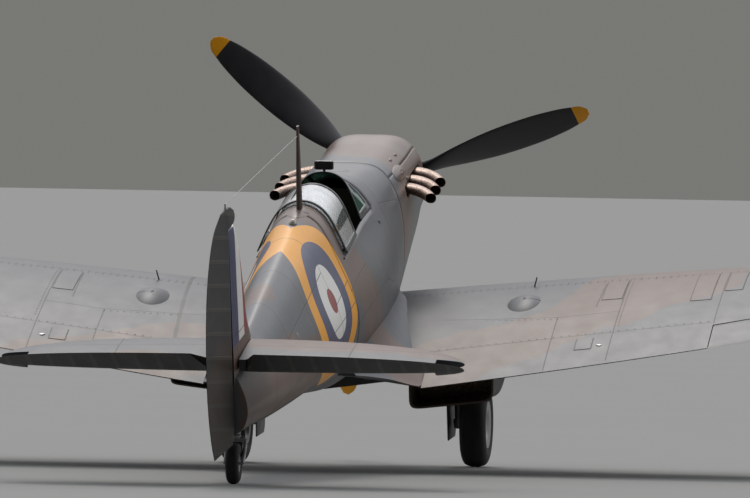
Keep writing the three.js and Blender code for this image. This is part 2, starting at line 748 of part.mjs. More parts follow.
function glazing(name, stations, out, windows) {
  const above = box([-600, 600], [0, 9000], [SILL_Z + SEAL, 2000]);
  const frame = common(bodyPanel(stations, -CROWN, CROWN, out, FRAME), above);
  const sheet = common(bodyPanel(stations, -CROWN, CROWN, out - FRAME - SEAL, SHEET), above);
  place(name + "_frame", largest(cut(frame, ...windows)), black);
  place(name + "_glass", largest(sheet), glass);
}

// Openings between two stations and above a height: beyond a half-width to each side
function sideWindows(stations, low, half) {
  return [-1, 1].map((side) => box([side * half, side * 600], stations, [low, 1200]));
}

function canopy() {
  const screen = [DECK_END + 60, ARCH - 40];
  const front = box([-110, 110], screen, [450, 1200]);
  const screenRings = stationsBetween(DECK_END + 4, ARCH, 6);
  glazing("windscreen", screenRings, 0, [front, ...sideWindows(screen, 450, 140)]);
  const rearRings = stationsBetween(GLAZING_FRONT, GLAZING_END, 3);
  glazing("rear_glazing", rearRings, 0, sideWindows([GLAZING_FRONT + 45, GLAZING_END - 45], 440, 20));
  const pane = box([-600, 600], [HOOD.front + 35, HOOD.rear - 30], [SILL_Z + 40, 1200]);
  glazing("hood", stationsBetween(HOOD.front, HOOD.rear, 3), HOOD.standoff, [pane]);
}

// A box mirror with a rounded back, on a short post above the windscreen's arch
const MIRROR = { half: 70, face: ARCH - 24, low: 756, high: 822, post: ARCH - 45 };
// distance ahead of the mirror's face, share of its height
const MIRROR_ROWS = [
  [0, 0],
  [0, 1],
  [24, 1.03],
  [46, 0.86],
  [54, 0.5],
  [46, 0.14],
  [24, -0.03],
];

function mirror() {
  const { half, face, low, high, post } = MIRROR;
  const outline = MIRROR_ROWS.map(([ahead, share]) => [face - ahead, lerp(low, high, share)]);
  const foot = bodyShape.evaluate(post)[0] + 5 * FIT;
  const stem = rod(at(0, post, foot), at(0, post, low + 10), 9, 9, 10);
  place("mirror", join(slabAcross(outline, -half, half), stem), black);
}

// Seat, headrest, panel and control column
const SEAT = { half: 190, front: 3960, back: 4290, pan: -220, cheek: -60, top: 330, sheet: 14 };
const HEADREST = { half: 95, front: 4318, back: 4352, low: 300, high: 560 };
const HEADREST_BACK = { half: 60, back: 4400, low: 310, high: 500 };
const PANEL = { station: 3120, thick: 20, low: -180, high: 540, inset: 0.985 };
const COLUMN = { foot: [3660, -480], head: [3640, 20], gripZ: 70, gripRadius: 62, gripThick: 14 };

function cockpitFittings() {
  const { half, front, back, pan, cheek, top, sheet } = SEAT;
  const length = [front, back + sheet];
  const seat = [
    box([-half, half], length, [pan, pan + 24]),
    box([-half, half], [back, back + 24], [pan, top]),
    ...[-1, 1].map((side) => box([side * half, side * (half - sheet)], length, [pan, cheek])),
    box([-60, 60], [back - 40, back + 20], [-520, pan + 10]),
  ];
  place("pilot_seat", join(...seat), interior);
  const head = HEADREST;
  const cushion = box([-head.half, head.half], [head.front, head.back], [head.low, head.high]);
  const behind = HEADREST_BACK;
  const block = box([-behind.half, behind.half], [head.back, behind.back], [behind.low, behind.high]);
  place("headrest", join(cushion, block), leather);
  instrumentPanel();
  const stick = rod(at(0, ...COLUMN.foot), at(0, ...COLUMN.head), 18, 14);
  const grip = new THREE.TorusGeometry(COLUMN.gripRadius, COLUMN.gripThick, 6, 16);
  grip.rotateX(Math.PI / 2).translate(0, -COLUMN.head[0], COLUMN.gripZ);
  place("control_column", join(stick, grip), black);
}

function instrumentPanel() {
  const ring = bodyRing(PANEL.station, -SKIN - FIT - 2).filter((p) => p.z > PANEL.low);
  ring.sort((a, b) => Math.atan2(b.x, b.z) - Math.atan2(a.x, a.z));
  const outline = ring.map((p) => [p.x * PANEL.inset, Math.min(p.z, PANEL.high)]);
  place("instrument_panel", slabAlong(outline, PANEL.station, PANEL.station + PANEL.thick), black);
}

// Tail
const FIN_ROWS = [
  // height, leading station, half thickness
  [300, 7180, 62],
  [450, 7400, 60],
  [600, 7560, 52],
  [800, 7665, 45],
  [1000, 7765, 37],
  [1200, 7900, 30],
  [1320, 8020, 24],
  [1352, 8080, 20],
];
// Rudder behind its hinge: height, chord, half thickness at the hinge
const RUDDER_ROWS = [
  [-110, 470, 30],
  [0, 545, 42],
  [130, 610, 41],
  [300, 665, 38],
  [500, 700, 35],
  [700, 705, 32],
  [900, 690, 29],
  [1080, 655, 26],
  [1240, 580, 23],
  [1370, 480, 20],
  [1460, 350, 18],
  [1520, 170, 12],
];
// The rudder's round nose on its hinge, from foot to head
const RUDDER_NOSE = { foot: -105, head: 1352, radiusFoot: 45, radiusHead: 22 };
// The balance ahead of the hinge above the fin: distance aft, height
const RUDDER_HORN = [
  [20, 1366],
  [-230, 1374],
  [-280, 1410],
  [-230, 1470],
  [-120, 1512],
  [20, 1522],
  [80, 1500],
];
const RUDDER_HORN_HALF = 14;

function finSection(z, lead, hinge, half) {
  const shares = [0, 0.04, 0.12, 0.28, 0.5, 0.75, 1];
  const girth = [0.02, 0.36, 0.62, 0.9, 1, 0.92, 0.74];
  const starboard = shares.map((share, i) => at(half * girth[i], lerp(lead, hinge, share), z));
  const port = shares.map((share, i) => at(-half * girth[i], lerp(lead, hinge, share), z)).reverse();
  return [...starboard, ...port];
}

function fin() {
  const rows = FIN_ROWS.map(([z, lead, half]) => finSection(z, lead, RUDDER_HINGE, half));
  const REAR_EDGE = 14; // ahead of the hinge, so that the rudder's sides clear it when turned
  const behind = box([-REACH, REACH], [RUDDER_HINGE - REAR_EDGE, RUDDER_HINGE + REACH], [-REACH, REACH]);
  const cove = rudderNose(MOVING_GAP).translate(0, -RUDDER_HINGE, 0);
  place("fin", largest(cut(loft(rows), bodyRoom(), behind, cove)), camouflage);
}

function rudderNose(gap) {
  const { foot, head, radiusFoot, radiusHead } = RUDDER_NOSE;
  return rod(at(0, 0, foot - gap), at(0, 0, head + gap), radiusFoot + gap, radiusHead + gap, 24);
}

function rudder() {
  const group = new THREE.Group();
  group.position.copy(at(0, RUDDER_HINGE, 0));
  group.rotation.z = rad(-RUDDER_REST);
  airframe.add(group);
  const ring = ([z, chord, half]) => {
    const shares = [0, 0.3, 0.65, 1];
    const girth = [1, 0.72, 0.4, 0.06];
    const starboard = shares.map((share, i) => at(half * girth[i], chord * share, z));
    return [...starboard, ...starboard.map((p) => at(-p.x, -p.y, z)).reverse()];
  };
  const blade = loft(RUDDER_ROWS.map(ring));
  const nose = rudderNose(0);
  const horn = slabAcross(RUDDER_HORN, -RUDDER_HORN_HALF, RUDDER_HORN_HALF);
  place("rudder", join(blade, nose, horn), camouflage, group);
}

// Tailplane: half-ellipse tips, elevators behind a straight hinge
const TAIL_PLAN = { lead: 730, trail: 410, tipPower: 2.4, thickness: 0.1 };

function tailShare(x) {
  return (1 - (x / TAIL_HALF_SPAN) ** TAIL_PLAN.tipPower) ** (1 / TAIL_PLAN.tipPower);
}

function tailSolid(side, from, to, count) {
  const xs = stationsBetween(0, 1, count).map((t) => lerp(from, to, Math.sin((t * Math.PI) / 2)));
  return loft(
    xs.map((x) => {
      const share = tailShare(x);
      const lead = ELEVATOR_HINGE - TAIL_PLAN.lead * share;
      const trail = ELEVATOR_HINGE + TAIL_PLAN.trail * share;
      const place = ([a, h]) => at(side * x, lerp(lead, trail, a), TAIL_Z + h * (trail - lead));
      return foil(TAIL_PLAN.thickness, 0, 6).map(place);
    }),
  );
}

// An elevator's outline across: a round nose on the hinge, or at the tip a balance ahead of it
const ELEVATOR = { inner: 120, outer: 1400, horn: 150, step: 0.5 };

function elevatorSection(x, side, ahead) {
  const share = tailShare(x);
  const chord = (TAIL_PLAN.lead + TAIL_PLAN.trail) * share;
  const half = (aft) => foilHalf(TAIL_PLAN.thickness, aft / chord + hingeShare()) * chord;
  const radius = half(0);
  const nose = HALF_TURN.map((turn) => [
    Math.cos(turn) * (ahead || radius),
    Math.sin(turn) * (ahead ? half(Math.cos(turn) * ahead) : radius),
  ]);
  const behind = [0.35, 0.7].map((t) => t * TAIL_PLAN.trail * share);
  const below = behind.map((aft) => [aft, -half(aft)]);
  const above = behind.map((aft) => [aft, half(aft)]).reverse();
  const outline = [...nose, ...below, [TAIL_PLAN.trail * share, 0], ...above];
  return outline.map(([aft, z]) => at(side * x, ELEVATOR_HINGE + aft, TAIL_Z + z));
}

function hingeShare() {
  return TAIL_PLAN.lead / (TAIL_PLAN.lead + TAIL_PLAN.trail);
}

const TAIL_ROOT = 66; // half the gap between the tailplanes, inside the body
const ELEVATOR_RIBS = [500, 900, 1200];
const ELEVATOR_TIPS = [1460, 1520, 1560, 1585];

function tailplanes() {
  const { inner, outer, horn, step } = ELEVATOR;
  const last = TAIL_HALF_SPAN * 0.998;
  const xs = [inner, ...ELEVATOR_RIBS, outer];
  for (const [name, side] of Object.entries(SIDES)) {
    const whole = tailSolid(side, TAIL_ROOT, last, 10);
    place("tailplane_" + name, largest(cut(whole, bodyRoom(), ...elevatorRoom(side, xs))), camouflage);
    const group = new THREE.Group();
    group.position.copy(at(0, ELEVATOR_HINGE, TAIL_Z));
    group.rotation.x = rad(-ELEVATOR_REST);
    airframe.add(group);
    const tips = [outer + step, ...ELEVATOR_TIPS, last];
    const surface = loft([
      ...xs.map((x) => elevatorSection(x, side, 0)),
      ...tips.map((x) => elevatorSection(x, side, horn * (tailShare(x) / tailShare(outer)))),
    ]);
    const trimmed = largest(cut(surface, rudderRoom(side)));
    place("elevator_" + name, trimmed.translate(0, ELEVATOR_HINGE, -TAIL_Z), camouflage, group);
  }
}

// The room that an elevator turns in: all behind its hinge, a cove for its nose, and its balance
function elevatorRoom(side, xs) {
  const { outer, horn } = ELEVATOR;
  const spots = xs.map((x, i) => ({
    point: at(side * (i ? x : x - MOVING_GAP), ELEVATOR_HINGE, TAIL_Z),
    radius: foilHalf(TAIL_PLAN.thickness, hingeShare()) * (TAIL_PLAN.lead + TAIL_PLAN.trail) * tailShare(x),
  }));
  const edge = ELEVATOR_HINGE - MOVING_GAP;
  const [far, end] = [side * 2000, 9500];
  const behind = slabUp([[0, edge], [far, edge], [far, end], [0, end]], -REACH, REACH);
  const tip = box([side * (outer - MOVING_GAP), far], [edge - horn, end], [-REACH, REACH]);
  return [behind, hingeNose(spots, MOVING_GAP), tip];
}

// The elevators are cut away inboard to leave room for the turning rudder
function rudderRoom(side) {
  const { inner } = ELEVATOR;
  const corner = [side * (inner + 1), ELEVATOR_HINGE + 20];
  return slabUp([[0, 8000], [side * inner, 8000], corner, [side * 300, 9000], [0, 9000]], -REACH, REACH);
}

// height, middle station, chord, half thickness
const MAST_ROWS = [
  [700, 4795, 120, 22],
  [1050, 4822, 92, 16],
  [1355, 4845, 60, 9],
];

function aerialMast() {
  const ring = ([z, station, chord, half]) => {
    const [front, rear] = [station - chord / 2, station + chord / 2];
    return [at(half, station, z), at(0, front, z), at(-half, station, z), at(0, rear, z)];
  };
  const mast = loft(MAST_ROWS.map(ring));
  place("aerial_mast", largest(cut(mast, bodyRoom())), camouflage);
}

// Undercarriage: an oleo leg with its axle stub and the fairing inboard of it
const LEG = { topX: 745, topStation: 2010, topZ: -650, footX: 756, radius: 40, foot: 28, stub: 26 };
const GEAR_DOOR = { inward: -46, thick: 12 };
// distance aft of the leg, height
const GEAR_DOOR_ROWS = [
  [-215, -745],
  [215, -745],
  [222, -1532],
  [-150, -1586],
  [-215, -1480],
];

function mainGear(name, side) {
  const foot = at(side * LEG.footX, MAIN_AXLE.station, MAIN_AXLE.z);
  const top = at(side * LEG.topX, LEG.topStation, LEG.topZ);
  const middle = top.clone().lerp(foot, 0.62);
  const axle = at(side * (MAIN_AXLE.x - 40), MAIN_AXLE.station, MAIN_AXLE.z);
  const leg = join(
    rod(top, middle, LEG.radius, LEG.radius, 14),
    rod(middle.clone().lerp(top, 0.1), foot, LEG.foot, LEG.foot, 12),
    rod(foot.clone(), axle, LEG.stub, LEG.stub, 12),
    new THREE.SphereGeometry(44, 10, 6).translate(...foot),
  );
  place("gear_leg_" + name, largest(cut(leg, bodyRoom())), metal);
  place("gear_door_" + name, gearDoor(side), camouflage);
  const wheel = new THREE.Group();
  wheel.position.copy(at(side * MAIN_AXLE.x, MAIN_AXLE.station, MAIN_AXLE.z));
  wheel.rotation.x = -groundAngle;
  airframe.add(wheel);
  place("wheel_hub_" + name, hubShape(side), metal, wheel);
  place("tyre_" + name, tyreShape(TYRE_RADIUS, 172, 192, 24), rubber, wheel);
}

// The fairing is a flat plate inboard of the leg
function gearDoor(side) {
  const ring = (thick) =>
    GEAR_DOOR_ROWS.map(([aft, z]) => {
      const share = (z - LEG.topZ) / (MAIN_AXLE.z - LEG.topZ);
      const x = side * (lerp(LEG.topX, LEG.footX, share) + GEAR_DOOR.inward - thick);
      return at(x, lerp(LEG.topStation, MAIN_AXLE.station, share) + aft, z);
    });
  return loft([ring(0), ring(GEAR_DOOR.thick)]);
}

// A hub turns on the axle stub inboard of it
// radius, distance outboard
const HUB_ROWS = [
  [0, 62],
  [92, 62],
  [112, 80],
  [171, 88],
  [171, -88],
  [130, -84],
  [110, -56],
  [0, -56],
];

function hubShape(side) {
  const shape = new THREE.LatheGeometry(HUB_ROWS.map(([r, w]) => new THREE.Vector2(r, w)).reverse(), 18);
  const hub = shape.rotateZ(-Math.PI / 2 * side);
  const bore = rod(new THREE.Vector3(-side * 120, 0, 0), new THREE.Vector3(-side * 35, 0, 0), 30, 30, 20);
  return cut(hub, bore);
}

// share of the way from bore to tread, share of half the width
const TYRE_ROWS = [
  [0, 0.86],
  [0.3, 1],
  [0.62, 0.97],
  [0.86, 0.78],
  [0.96, 0.45],
];

function tyreShape(radius, bore, width, segments) {
  const spot = ([share, wide]) => [lerp(bore + FIT, radius, share), (wide * width) / 2];
  const inner = TYRE_ROWS.map(spot).map(([r, w]) => [r, -w]);
  const outer = TYRE_ROWS.map(spot).reverse();
  const profile = [...inner, [radius, 0], ...outer, inner[0]];
  const points = profile.map(([r, w]) => new THREE.Vector2(r, w));
  return new THREE.LatheGeometry(points, segments).rotateZ(-Math.PI / 2);
}

// Tailwheel: a fixed strut, a castoring fork and the wheel
const TAIL_STRUT = { lead: 105, from: 195, to: 420, radius: 30, rootRadius: 34 };
const TAIL_FORK = { crown: 165, top: 190, half: 62, legs: 60, post: 34, cross: 20, leg: 14, axle: 11 };
// radius, distance to the side
const TAIL_HUB_ROWS = [
  [12.5, 36],
  [40, 36],
  [59, 38],
  [59, -38],
  [40, -36],
  [12.5, -36],
  [12.5, 36],
];

function tailGear(turn) {
  const axle = at(0, TAIL_AXLE.station, TAIL_AXLE.z);
  const up = new THREE.Vector3(0, Math.sin(turn), Math.cos(turn));
  const ahead = new THREE.Vector3(0, Math.cos(turn), -Math.sin(turn)).multiplyScalar(TAIL_STRUT.lead);
  const spot = (x, lead, rise) => axle.clone().addScaledVector(ahead, lead).addScaledVector(up, rise).setX(x);
  const { from, to, radius, rootRadius } = TAIL_STRUT;
  const strut = cut(rod(spot(0, 1, from), spot(0, 1, to), radius, rootRadius, 20), bodyRoom());
  place("tail_strut", largest(strut), metal);
  const castor = new THREE.Group();
  airframe.add(castor);
  const { crown, top, half, legs, post, cross, leg, axle: pin } = TAIL_FORK;
  const fork = join(
    rod(spot(0, 1, crown), spot(0, 1, top), post, post, 20),
    rod(spot(-half, 1, crown), spot(half, 1, crown), cross, cross, 14),
    ...[-1, 1].map((side) => rod(spot(side * legs, 1, crown), spot(side * legs, 0, 0), leg, leg, 12)),
    rod(spot(-legs, 0, 0), spot(legs, 0, 0), pin, pin, 12),
  );
  place("tail_fork", largest(fork), metal, castor);
  const wheel = new THREE.Group();
  wheel.position.copy(axle);
  wheel.rotation.x = -turn;
  castor.add(wheel);
  const profile = TAIL_HUB_ROWS.map(([r, w]) => new THREE.Vector2(r, w)).reverse();
  place("tail_hub", new THREE.LatheGeometry(profile, 16).rotateZ(-Math.PI / 2), metal, wheel);
  place("tail_tyre", tyreShape(TAIL_TYRE_RADIUS, 60, 90, 16), rubber, wheel);
}

// radius, station
const SPINNER_ROWS = [
  [0, 0],
  [62, 14],
  [130, 58],
  [200, 130],
  [262, 230],
  [306, 350],
  [334, 480],
  [344, 612],
  [60, 612],
  [60, 632],
  [0, 632],
];
const SOCKET = { from: 175, to: 420, radius: 64 };

// Propeller: spinner and three blades turn together
function propeller() {
  const points = SPINNER_ROWS.map(([r, station]) => new THREE.Vector2(r, -station));
  const spinner = new THREE.LatheGeometry(points.reverse(), 26);
  const { from, to, radius } = SOCKET;
  const socket = (angle) => rod(radial(angle, from), radial(angle, to), radius, radius, 14);
  const sockets = BLADE_ANGLES.map(socket);
  place("spinner", cut(spinner, ...sockets), black);
  BLADE_ANGLES.forEach((angle, i) => place("propeller_blade_" + (i + 1), bladeShape(angle), black));
}

function radial(angle, radius) {
  return at(radius * Math.cos(rad(angle)), PROP_STATION, radius * Math.sin(rad(angle)));
}

// radius, chord, thickness, pitch in degrees
const BLADE_ROWS = [
  [176, 112, 112, 60],
  [300, 112, 108, 60],
  [400, 150, 82, 56],
  [560, 235, 52, 50],
  [800, 290, 36, 42],
  [1080, 290, 27, 35],
  [1340, 245, 19, 30],
  [1520, 175, 13, 27],
  [1610, 110, 9, 26],
  [PROP_RADIUS, 45, 6, 26],
];

function bladeShape(angle) {
  const SEGMENTS = 12;
  const rings = BLADE_ROWS.map(([radius, chord, thick, pitch]) => {
    const ring = [];
    for (let k = 0; k < SEGMENTS; k++) {
      const turn = (k / SEGMENTS) * Math.PI * 2;
      const [a, b] = [(Math.cos(turn) * chord) / 2, (Math.sin(turn) * thick) / 2];
      const p = rad(90 - pitch);
      const across = a * Math.cos(p) - b * Math.sin(p);
      const ahead = a * Math.sin(p) + b * Math.cos(p);
      ring.push(new THREE.Vector3(-ahead, across, 0));
    }
    return ring.map((v) => {
      const around = new THREE.Vector3(-Math.sin(rad(angle)), 0, Math.cos(rad(angle)));
      return radial(angle, radius).addScaledVector(around, v.x).add(new THREE.Vector3(0, v.y, 0));
    });
  });
  return loft(rings);
}

// The pitot head hangs under the port wing, its tube pointing ahead
const PITOT = { x: 4250, station: 2650, bedded: 6, drop: 150, lean: 60, length: 330 };

function pitotHead() {
  const root = wingLine(PITOT.x, PITOT.station, SIDES.left);
  const base = root.point.clone().add(new THREE.Vector3(0, 0, -root.radius - FIT));
  const low = base.clone().add(new THREE.Vector3(0, PITOT.lean, -PITOT.drop));
  const tip = low.clone().add(new THREE.Vector3(0, PITOT.length, 0));
  const foot = base.clone().add(new THREE.Vector3(0, 0, -PITOT.bedded));
  place("pitot_head", join(rod(foot, low, 14, 12, 12), rod(low, tip, 12, 8, 12)), metal);
}

propeller();
cowling();
centreFuselage();
rearFuselage();
canopy();
mirror();
cockpitFittings();
for (const [name, side] of Object.entries(SIDES)) {
  wingPieces(name, side);
  filletPieces(name, side);
  mainGear(name, side);
}
duct(1, RADIATOR, "radiator");
duct(-1, OIL_COOLER, "oil_cooler");
fin();
rudder();
tailplanes();
aerialMast();
tailGear(groundAngle);
pitotHead();

// Turn the airframe to its parked attitude and stand it on the ground, middle over the origin
airframe.rotation.x = groundAngle;
const root = new THREE.Group();
root.add(airframe);
const bounds = new THREE.Box3().setFromObject(root, true);
airframe.position.set(0, -(bounds.min.y + bounds.max.y) / 2, -bounds.min.z);

export default root;
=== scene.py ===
import json
import math

import bmesh
import bpy
import numpy as np
from mathutils import Matrix, Vector


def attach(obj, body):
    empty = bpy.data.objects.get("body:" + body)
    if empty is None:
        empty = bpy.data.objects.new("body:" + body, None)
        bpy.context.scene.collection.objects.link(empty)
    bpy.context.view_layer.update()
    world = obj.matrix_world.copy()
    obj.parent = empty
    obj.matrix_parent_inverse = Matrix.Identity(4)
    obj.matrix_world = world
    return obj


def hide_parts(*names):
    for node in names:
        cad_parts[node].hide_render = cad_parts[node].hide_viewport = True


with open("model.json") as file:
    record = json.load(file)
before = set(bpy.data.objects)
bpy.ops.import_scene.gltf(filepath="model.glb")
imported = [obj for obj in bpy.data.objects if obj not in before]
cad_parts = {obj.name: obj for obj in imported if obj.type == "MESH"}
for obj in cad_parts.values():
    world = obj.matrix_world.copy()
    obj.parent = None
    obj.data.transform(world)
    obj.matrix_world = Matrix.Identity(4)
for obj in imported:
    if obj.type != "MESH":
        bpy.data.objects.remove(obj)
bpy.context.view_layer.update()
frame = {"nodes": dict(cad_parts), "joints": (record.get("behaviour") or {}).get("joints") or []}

# The camera stands low behind the tail, a little to starboard. It is far off and has a long lens, so that
# lengths along the body look short.
CAMERA_PLACE = Vector((11.527, -84.225, 2.090))
CAMERA_HEADING = math.radians(7.459)
CAMERA_DIP = math.radians(0.3366)
CAMERA_ROLL = math.radians(1.0231)
CAMERA_LENS = 578.07  # mm, on a sensor 36 mm wide
CAMERA_SIGHT = 2000
camera = bpy.data.objects.new("camera", bpy.data.cameras.new("camera"))
camera.data.lens = CAMERA_LENS
camera.data.clip_end = CAMERA_SIGHT
aim = Matrix.Rotation(CAMERA_HEADING, 4, "Z") @ Matrix.Rotation(math.pi / 2 - CAMERA_DIP, 4, "X")
camera.matrix_world = Matrix.Translation(CAMERA_PLACE) @ aim @ Matrix.Rotation(CAMERA_ROLL, 4, "Z")
bpy.context.scene.collection.objects.link(camera)
bpy.context.scene.camera = camera


# The floor is a plain pale disc under the wheels, wide enough to reach the horizon from any side. Its
# finish, like all the others, is written with wires between the nodes of a material.
class Wire:
    """A socket in a node tree. Sums, products and powers of wires add Math nodes."""

    def __init__(self, tree, socket=None):
        self.tree = tree
        self.socket = socket

    def node(self, kind, settings, inputs, out=0):
        """Adds a node: its settings first, then the values or wires of its sockets."""
        made = self.tree.nodes.new("ShaderNode" + kind)
        for name, value in settings.items():
            if name == "stops":
                ramp = made.color_ramp
                for index, (place, colour) in enumerate(value):
                    stop = ramp.elements[index] if index < 2 else ramp.elements.new(place)
                    stop.position = place
                    stop.color = (*colour, 1)
            else:
                setattr(made, name, value)
        for name, value in inputs.items():
            self.feed(made.inputs[name], value)
        return Wire(self.tree, made.outputs[out])

    def feed(self, socket, value):
        if isinstance(value, Wire):
            self.tree.links.new(value.socket, socket)
        elif hasattr(value, "__len__") and len(value) == 3 and len(socket.default_value) == 4:
            socket.default_value = (*value, 1)
        else:
            socket.default_value = value

    def maths(self, operation, *values):
        return self.node("Math", {"operation": operation}, dict(enumerate(values)))

    def __add__(self, other):
        return self.maths("ADD", self, other)

    def __sub__(self, other):
        return self.maths("SUBTRACT", self, other)

    def __rsub__(self, other):
        return self.maths("SUBTRACT", other, self)

    def __mul__(self, other):
        return self.maths("MULTIPLY", self, other)

    def __truediv__(self, other):
        return self.maths("DIVIDE", self, other)

    def __pow__(self, other):
        return self.maths("POWER", self, other)

    def __abs__(self):
        return self.maths("ABSOLUTE", self)

    __radd__ = __add__
    __rmul__ = __mul__

    def step(self, edge, width):
        """0 below the edge and 1 above it, smoothly over a width."""
        ends = {"Value": self, "From Min": edge - width / 2, "From Max": edge + width / 2}
        return self.node("MapRange", {"interpolation_type": "SMOOTHSTEP"}, ends)

    def choose(self, low, high):
        """The colour low where this wire is 0, and high where it is 1."""
        return self.node("Mix", {"data_type": "RGBA"}, {0: self, 6: low, 7: high}, out=2)

    def vector(self, operation, *values, out=0):
        return self.node("VectorMath", {"operation": operation}, dict(enumerate(values)), out=out)

    def spot(self):
        return self.node("TexCoord", {}, {}, out="Object")

    def noise(self, scale, detail=4, stretch=(1, 1, 1), roughness=0.5):
        place = self.vector("MULTIPLY", self.spot(), stretch)
        values = {"Vector": place, "Scale": scale, "Detail": detail, "Roughness": roughness}
        return self.node("TexNoise", {}, values)

    def bump(self, height, strength, distance):
        values = {"Height": height, "Strength": strength, "Distance": distance}
        return self.node("Bump", {}, values)


def material(name, recipe, **plain):
    """A material whose recipe gives the wires of the shader's sockets; plain ones are set on it."""
    made = bpy.data.materials.new(name)
    made.use_nodes = True
    shader = made.node_tree.nodes["Principled BSDF"]
    for key, value in plain.items():
        Wire(made.node_tree).feed(shader.inputs[key.replace("_", " ")], value)
    shade = Wire(made.node_tree)
    for key, value in recipe(shade).items():
        shade.feed(shader.inputs[key.replace("_", " ")], value)
    return made


def shaped(name, vertices, faces):
    mesh = bpy.data.meshes.new(name)
    mesh.from_pydata([tuple(v) for v in vertices], [], [tuple(int(i) for i in face) for face in faces])
    made = bpy.data.objects.new(name, mesh)
    bpy.context.scene.collection.objects.link(made)
    return made


def circle(count):
    """Angles spaced evenly round a whole turn."""
    return np.linspace(0, 2 * math.pi, count, endpoint=False)


FLOOR_RADIUS = 1500
FLOOR_SIDES = 96
FLOOR_PALE = (0.26, 0.262, 0.25)
FLOOR_PATCHES = [c * 0.94 for c in FLOOR_PALE]


def floor_finish(shade):
    return {"Base_Color": shade.noise(0.35, 5).choose(FLOOR_PALE, FLOOR_PATCHES)}


rim = [(math.cos(a), math.sin(a), 0) for a in circle(FLOOR_SIDES)]
floor = shaped("floor", [Vector(p) * FLOOR_RADIUS for p in rim], [range(FLOOR_SIDES)])
floor.data.materials.append(material("pale floor", floor_finish, Roughness=0.95))

# Light comes softly from ahead and to port, as from a bright sky in front of the nose, so that what
# faces aft stays dark and the tops shine.
SUN_FROM = Vector((-0.14, 0.64, 0.86))
SUN_STRENGTH = 1.0
SUN_SPREAD = math.radians(16)
SUN_COLOUR = (1.0, 0.955, 0.89)
SKY_AHEAD = (1.28, 1.30, 1.37)
SKY_BEHIND = (0.030, 0.034, 0.040)
SKY_LOW = (0.19, 0.19, 0.18)
# Where one part of the sky gives way to the next, and over what width
SKY_TURN = (-0.25, 0.9)
SKY_CLIMB = (0.28, 0.36)
sun = bpy.data.objects.new("sun", bpy.data.lights.new("sun", "SUN"))
sun.data.energy = SUN_STRENGTH
sun.data.angle = SUN_SPREAD
sun.data.color = SUN_COLOUR
sun.rotation_mode = "QUATERNION"
sun.rotation_quaternion = SUN_FROM.to_track_quat("Z", "Y")
bpy.context.scene.collection.objects.link(sun)
bpy.context.scene.world = bpy.data.worlds.new("sky")
bpy.context.scene.world.use_nodes = True
sky_tree = bpy.context.scene.world.node_tree
sky = Wire(sky_tree)
way = sky.node("TexCoord", {}, {}, out="Generated")
ahead = sky.node("SeparateXYZ", {}, {0: way}, out="Y").step(*SKY_TURN)
high = sky.node("SeparateXYZ", {}, {0: way}, out="Z").step(*SKY_CLIMB)
colour = high.choose(ahead.choose(SKY_BEHIND, SKY_LOW), ahead.choose(SKY_BEHIND, SKY_AHEAD))
sky.feed(sky_tree.nodes["Background"].inputs["Color"], colour)
bpy.context.scene.view_settings.view_transform = "Standard"

# The aircraft is drawn level: x to starboard, a station aft of the spinner's tip and a height over the
# thrust line. placed() sets such places into the frame, where the aircraft stands nose-up on its wheels.
SPIN = next(joint for joint in frame["joints"] if joint["name"] == "propeller_spin")
FORWARD = Vector(SPIN["axis"])
STARBOARD = Vector((1, 0, 0))
UP = STARBOARD.cross(FORWARD)
PROP_STATION = 0.400
TIP = Vector(SPIN["pos_m"]) + PROP_STATION * FORWARD
LEVEL_AXES = np.array([STARBOARD, -FORWARD, UP])


def placed(level):
    return np.asarray(TIP) + np.asarray(level, float).reshape(-1, 3) @ LEVEL_AXES


def level_rows(x, station, z):
    """Level places from values of x, station and height, any of which may be the same for all."""
    return np.stack(np.broadcast_arrays(x, station, z), axis=-1).astype(float)


# The body's outline: rows of a station, top, then half-width and height at the shoulder, the cheek, the
# widest point and the chine, then bottom. A smooth closed curve runs through each section's points.
BODY_ROWS = np.array([
    [630, 352, 190, 305, 300, 180, 342, 10, 255, -255, -355],
    [850, 452, 222, 425, 345, 290, 360, 60, 275, -295, -415],
    [1400, 490, 225, 462, 350, 310, 378, 60, 305, -360, -560],
    [2000, 532, 225, 500, 355, 340, 402, 50, 330, -430, -690],
    [2500, 570, 222, 532, 348, 365, 424, 30, 350, -480, -765],
    [3000, 606, 176, 556, 318, 378, 444, 0, 370, -500, -795],
    [3170, 640, 146, 570, 302, 374, 448, -6, 373, -498, -794],
    [3550, 750, 130, 706, 270, 408, 456, -20, 378, -490, -785],
    [4150, 762, 145, 700, 292, 402, 456, -20, 370, -450, -712],
    [4720, 757, 135, 700, 298, 405, 442, -5, 350, -375, -600],
    [5300, 698, 125, 645, 275, 382, 405, 15, 322, -310, -480],
    [6000, 632, 112, 580, 245, 355, 350, 40, 275, -230, -350],
    [6700, 562, 100, 512, 208, 328, 292, 62, 225, -172, -266],
    [7400, 482, 80, 436, 165, 300, 230, 80, 172, -108, -182],
    [8000, 420, 52, 385, 118, 275, 168, 92, 122, -42, -96],
    [8355, 385, 34, 358, 88, 262, 122, 100, 88, -8, -58],
]) / 1000
COWL_FRONT = 0.630
FIREWALL = 2.340
REAR_BULKHEAD = 4.940
TAIL_END = 8.320
SKIN = 0.014
FINE_TURNS = 400
ROUNDING = 1e-6


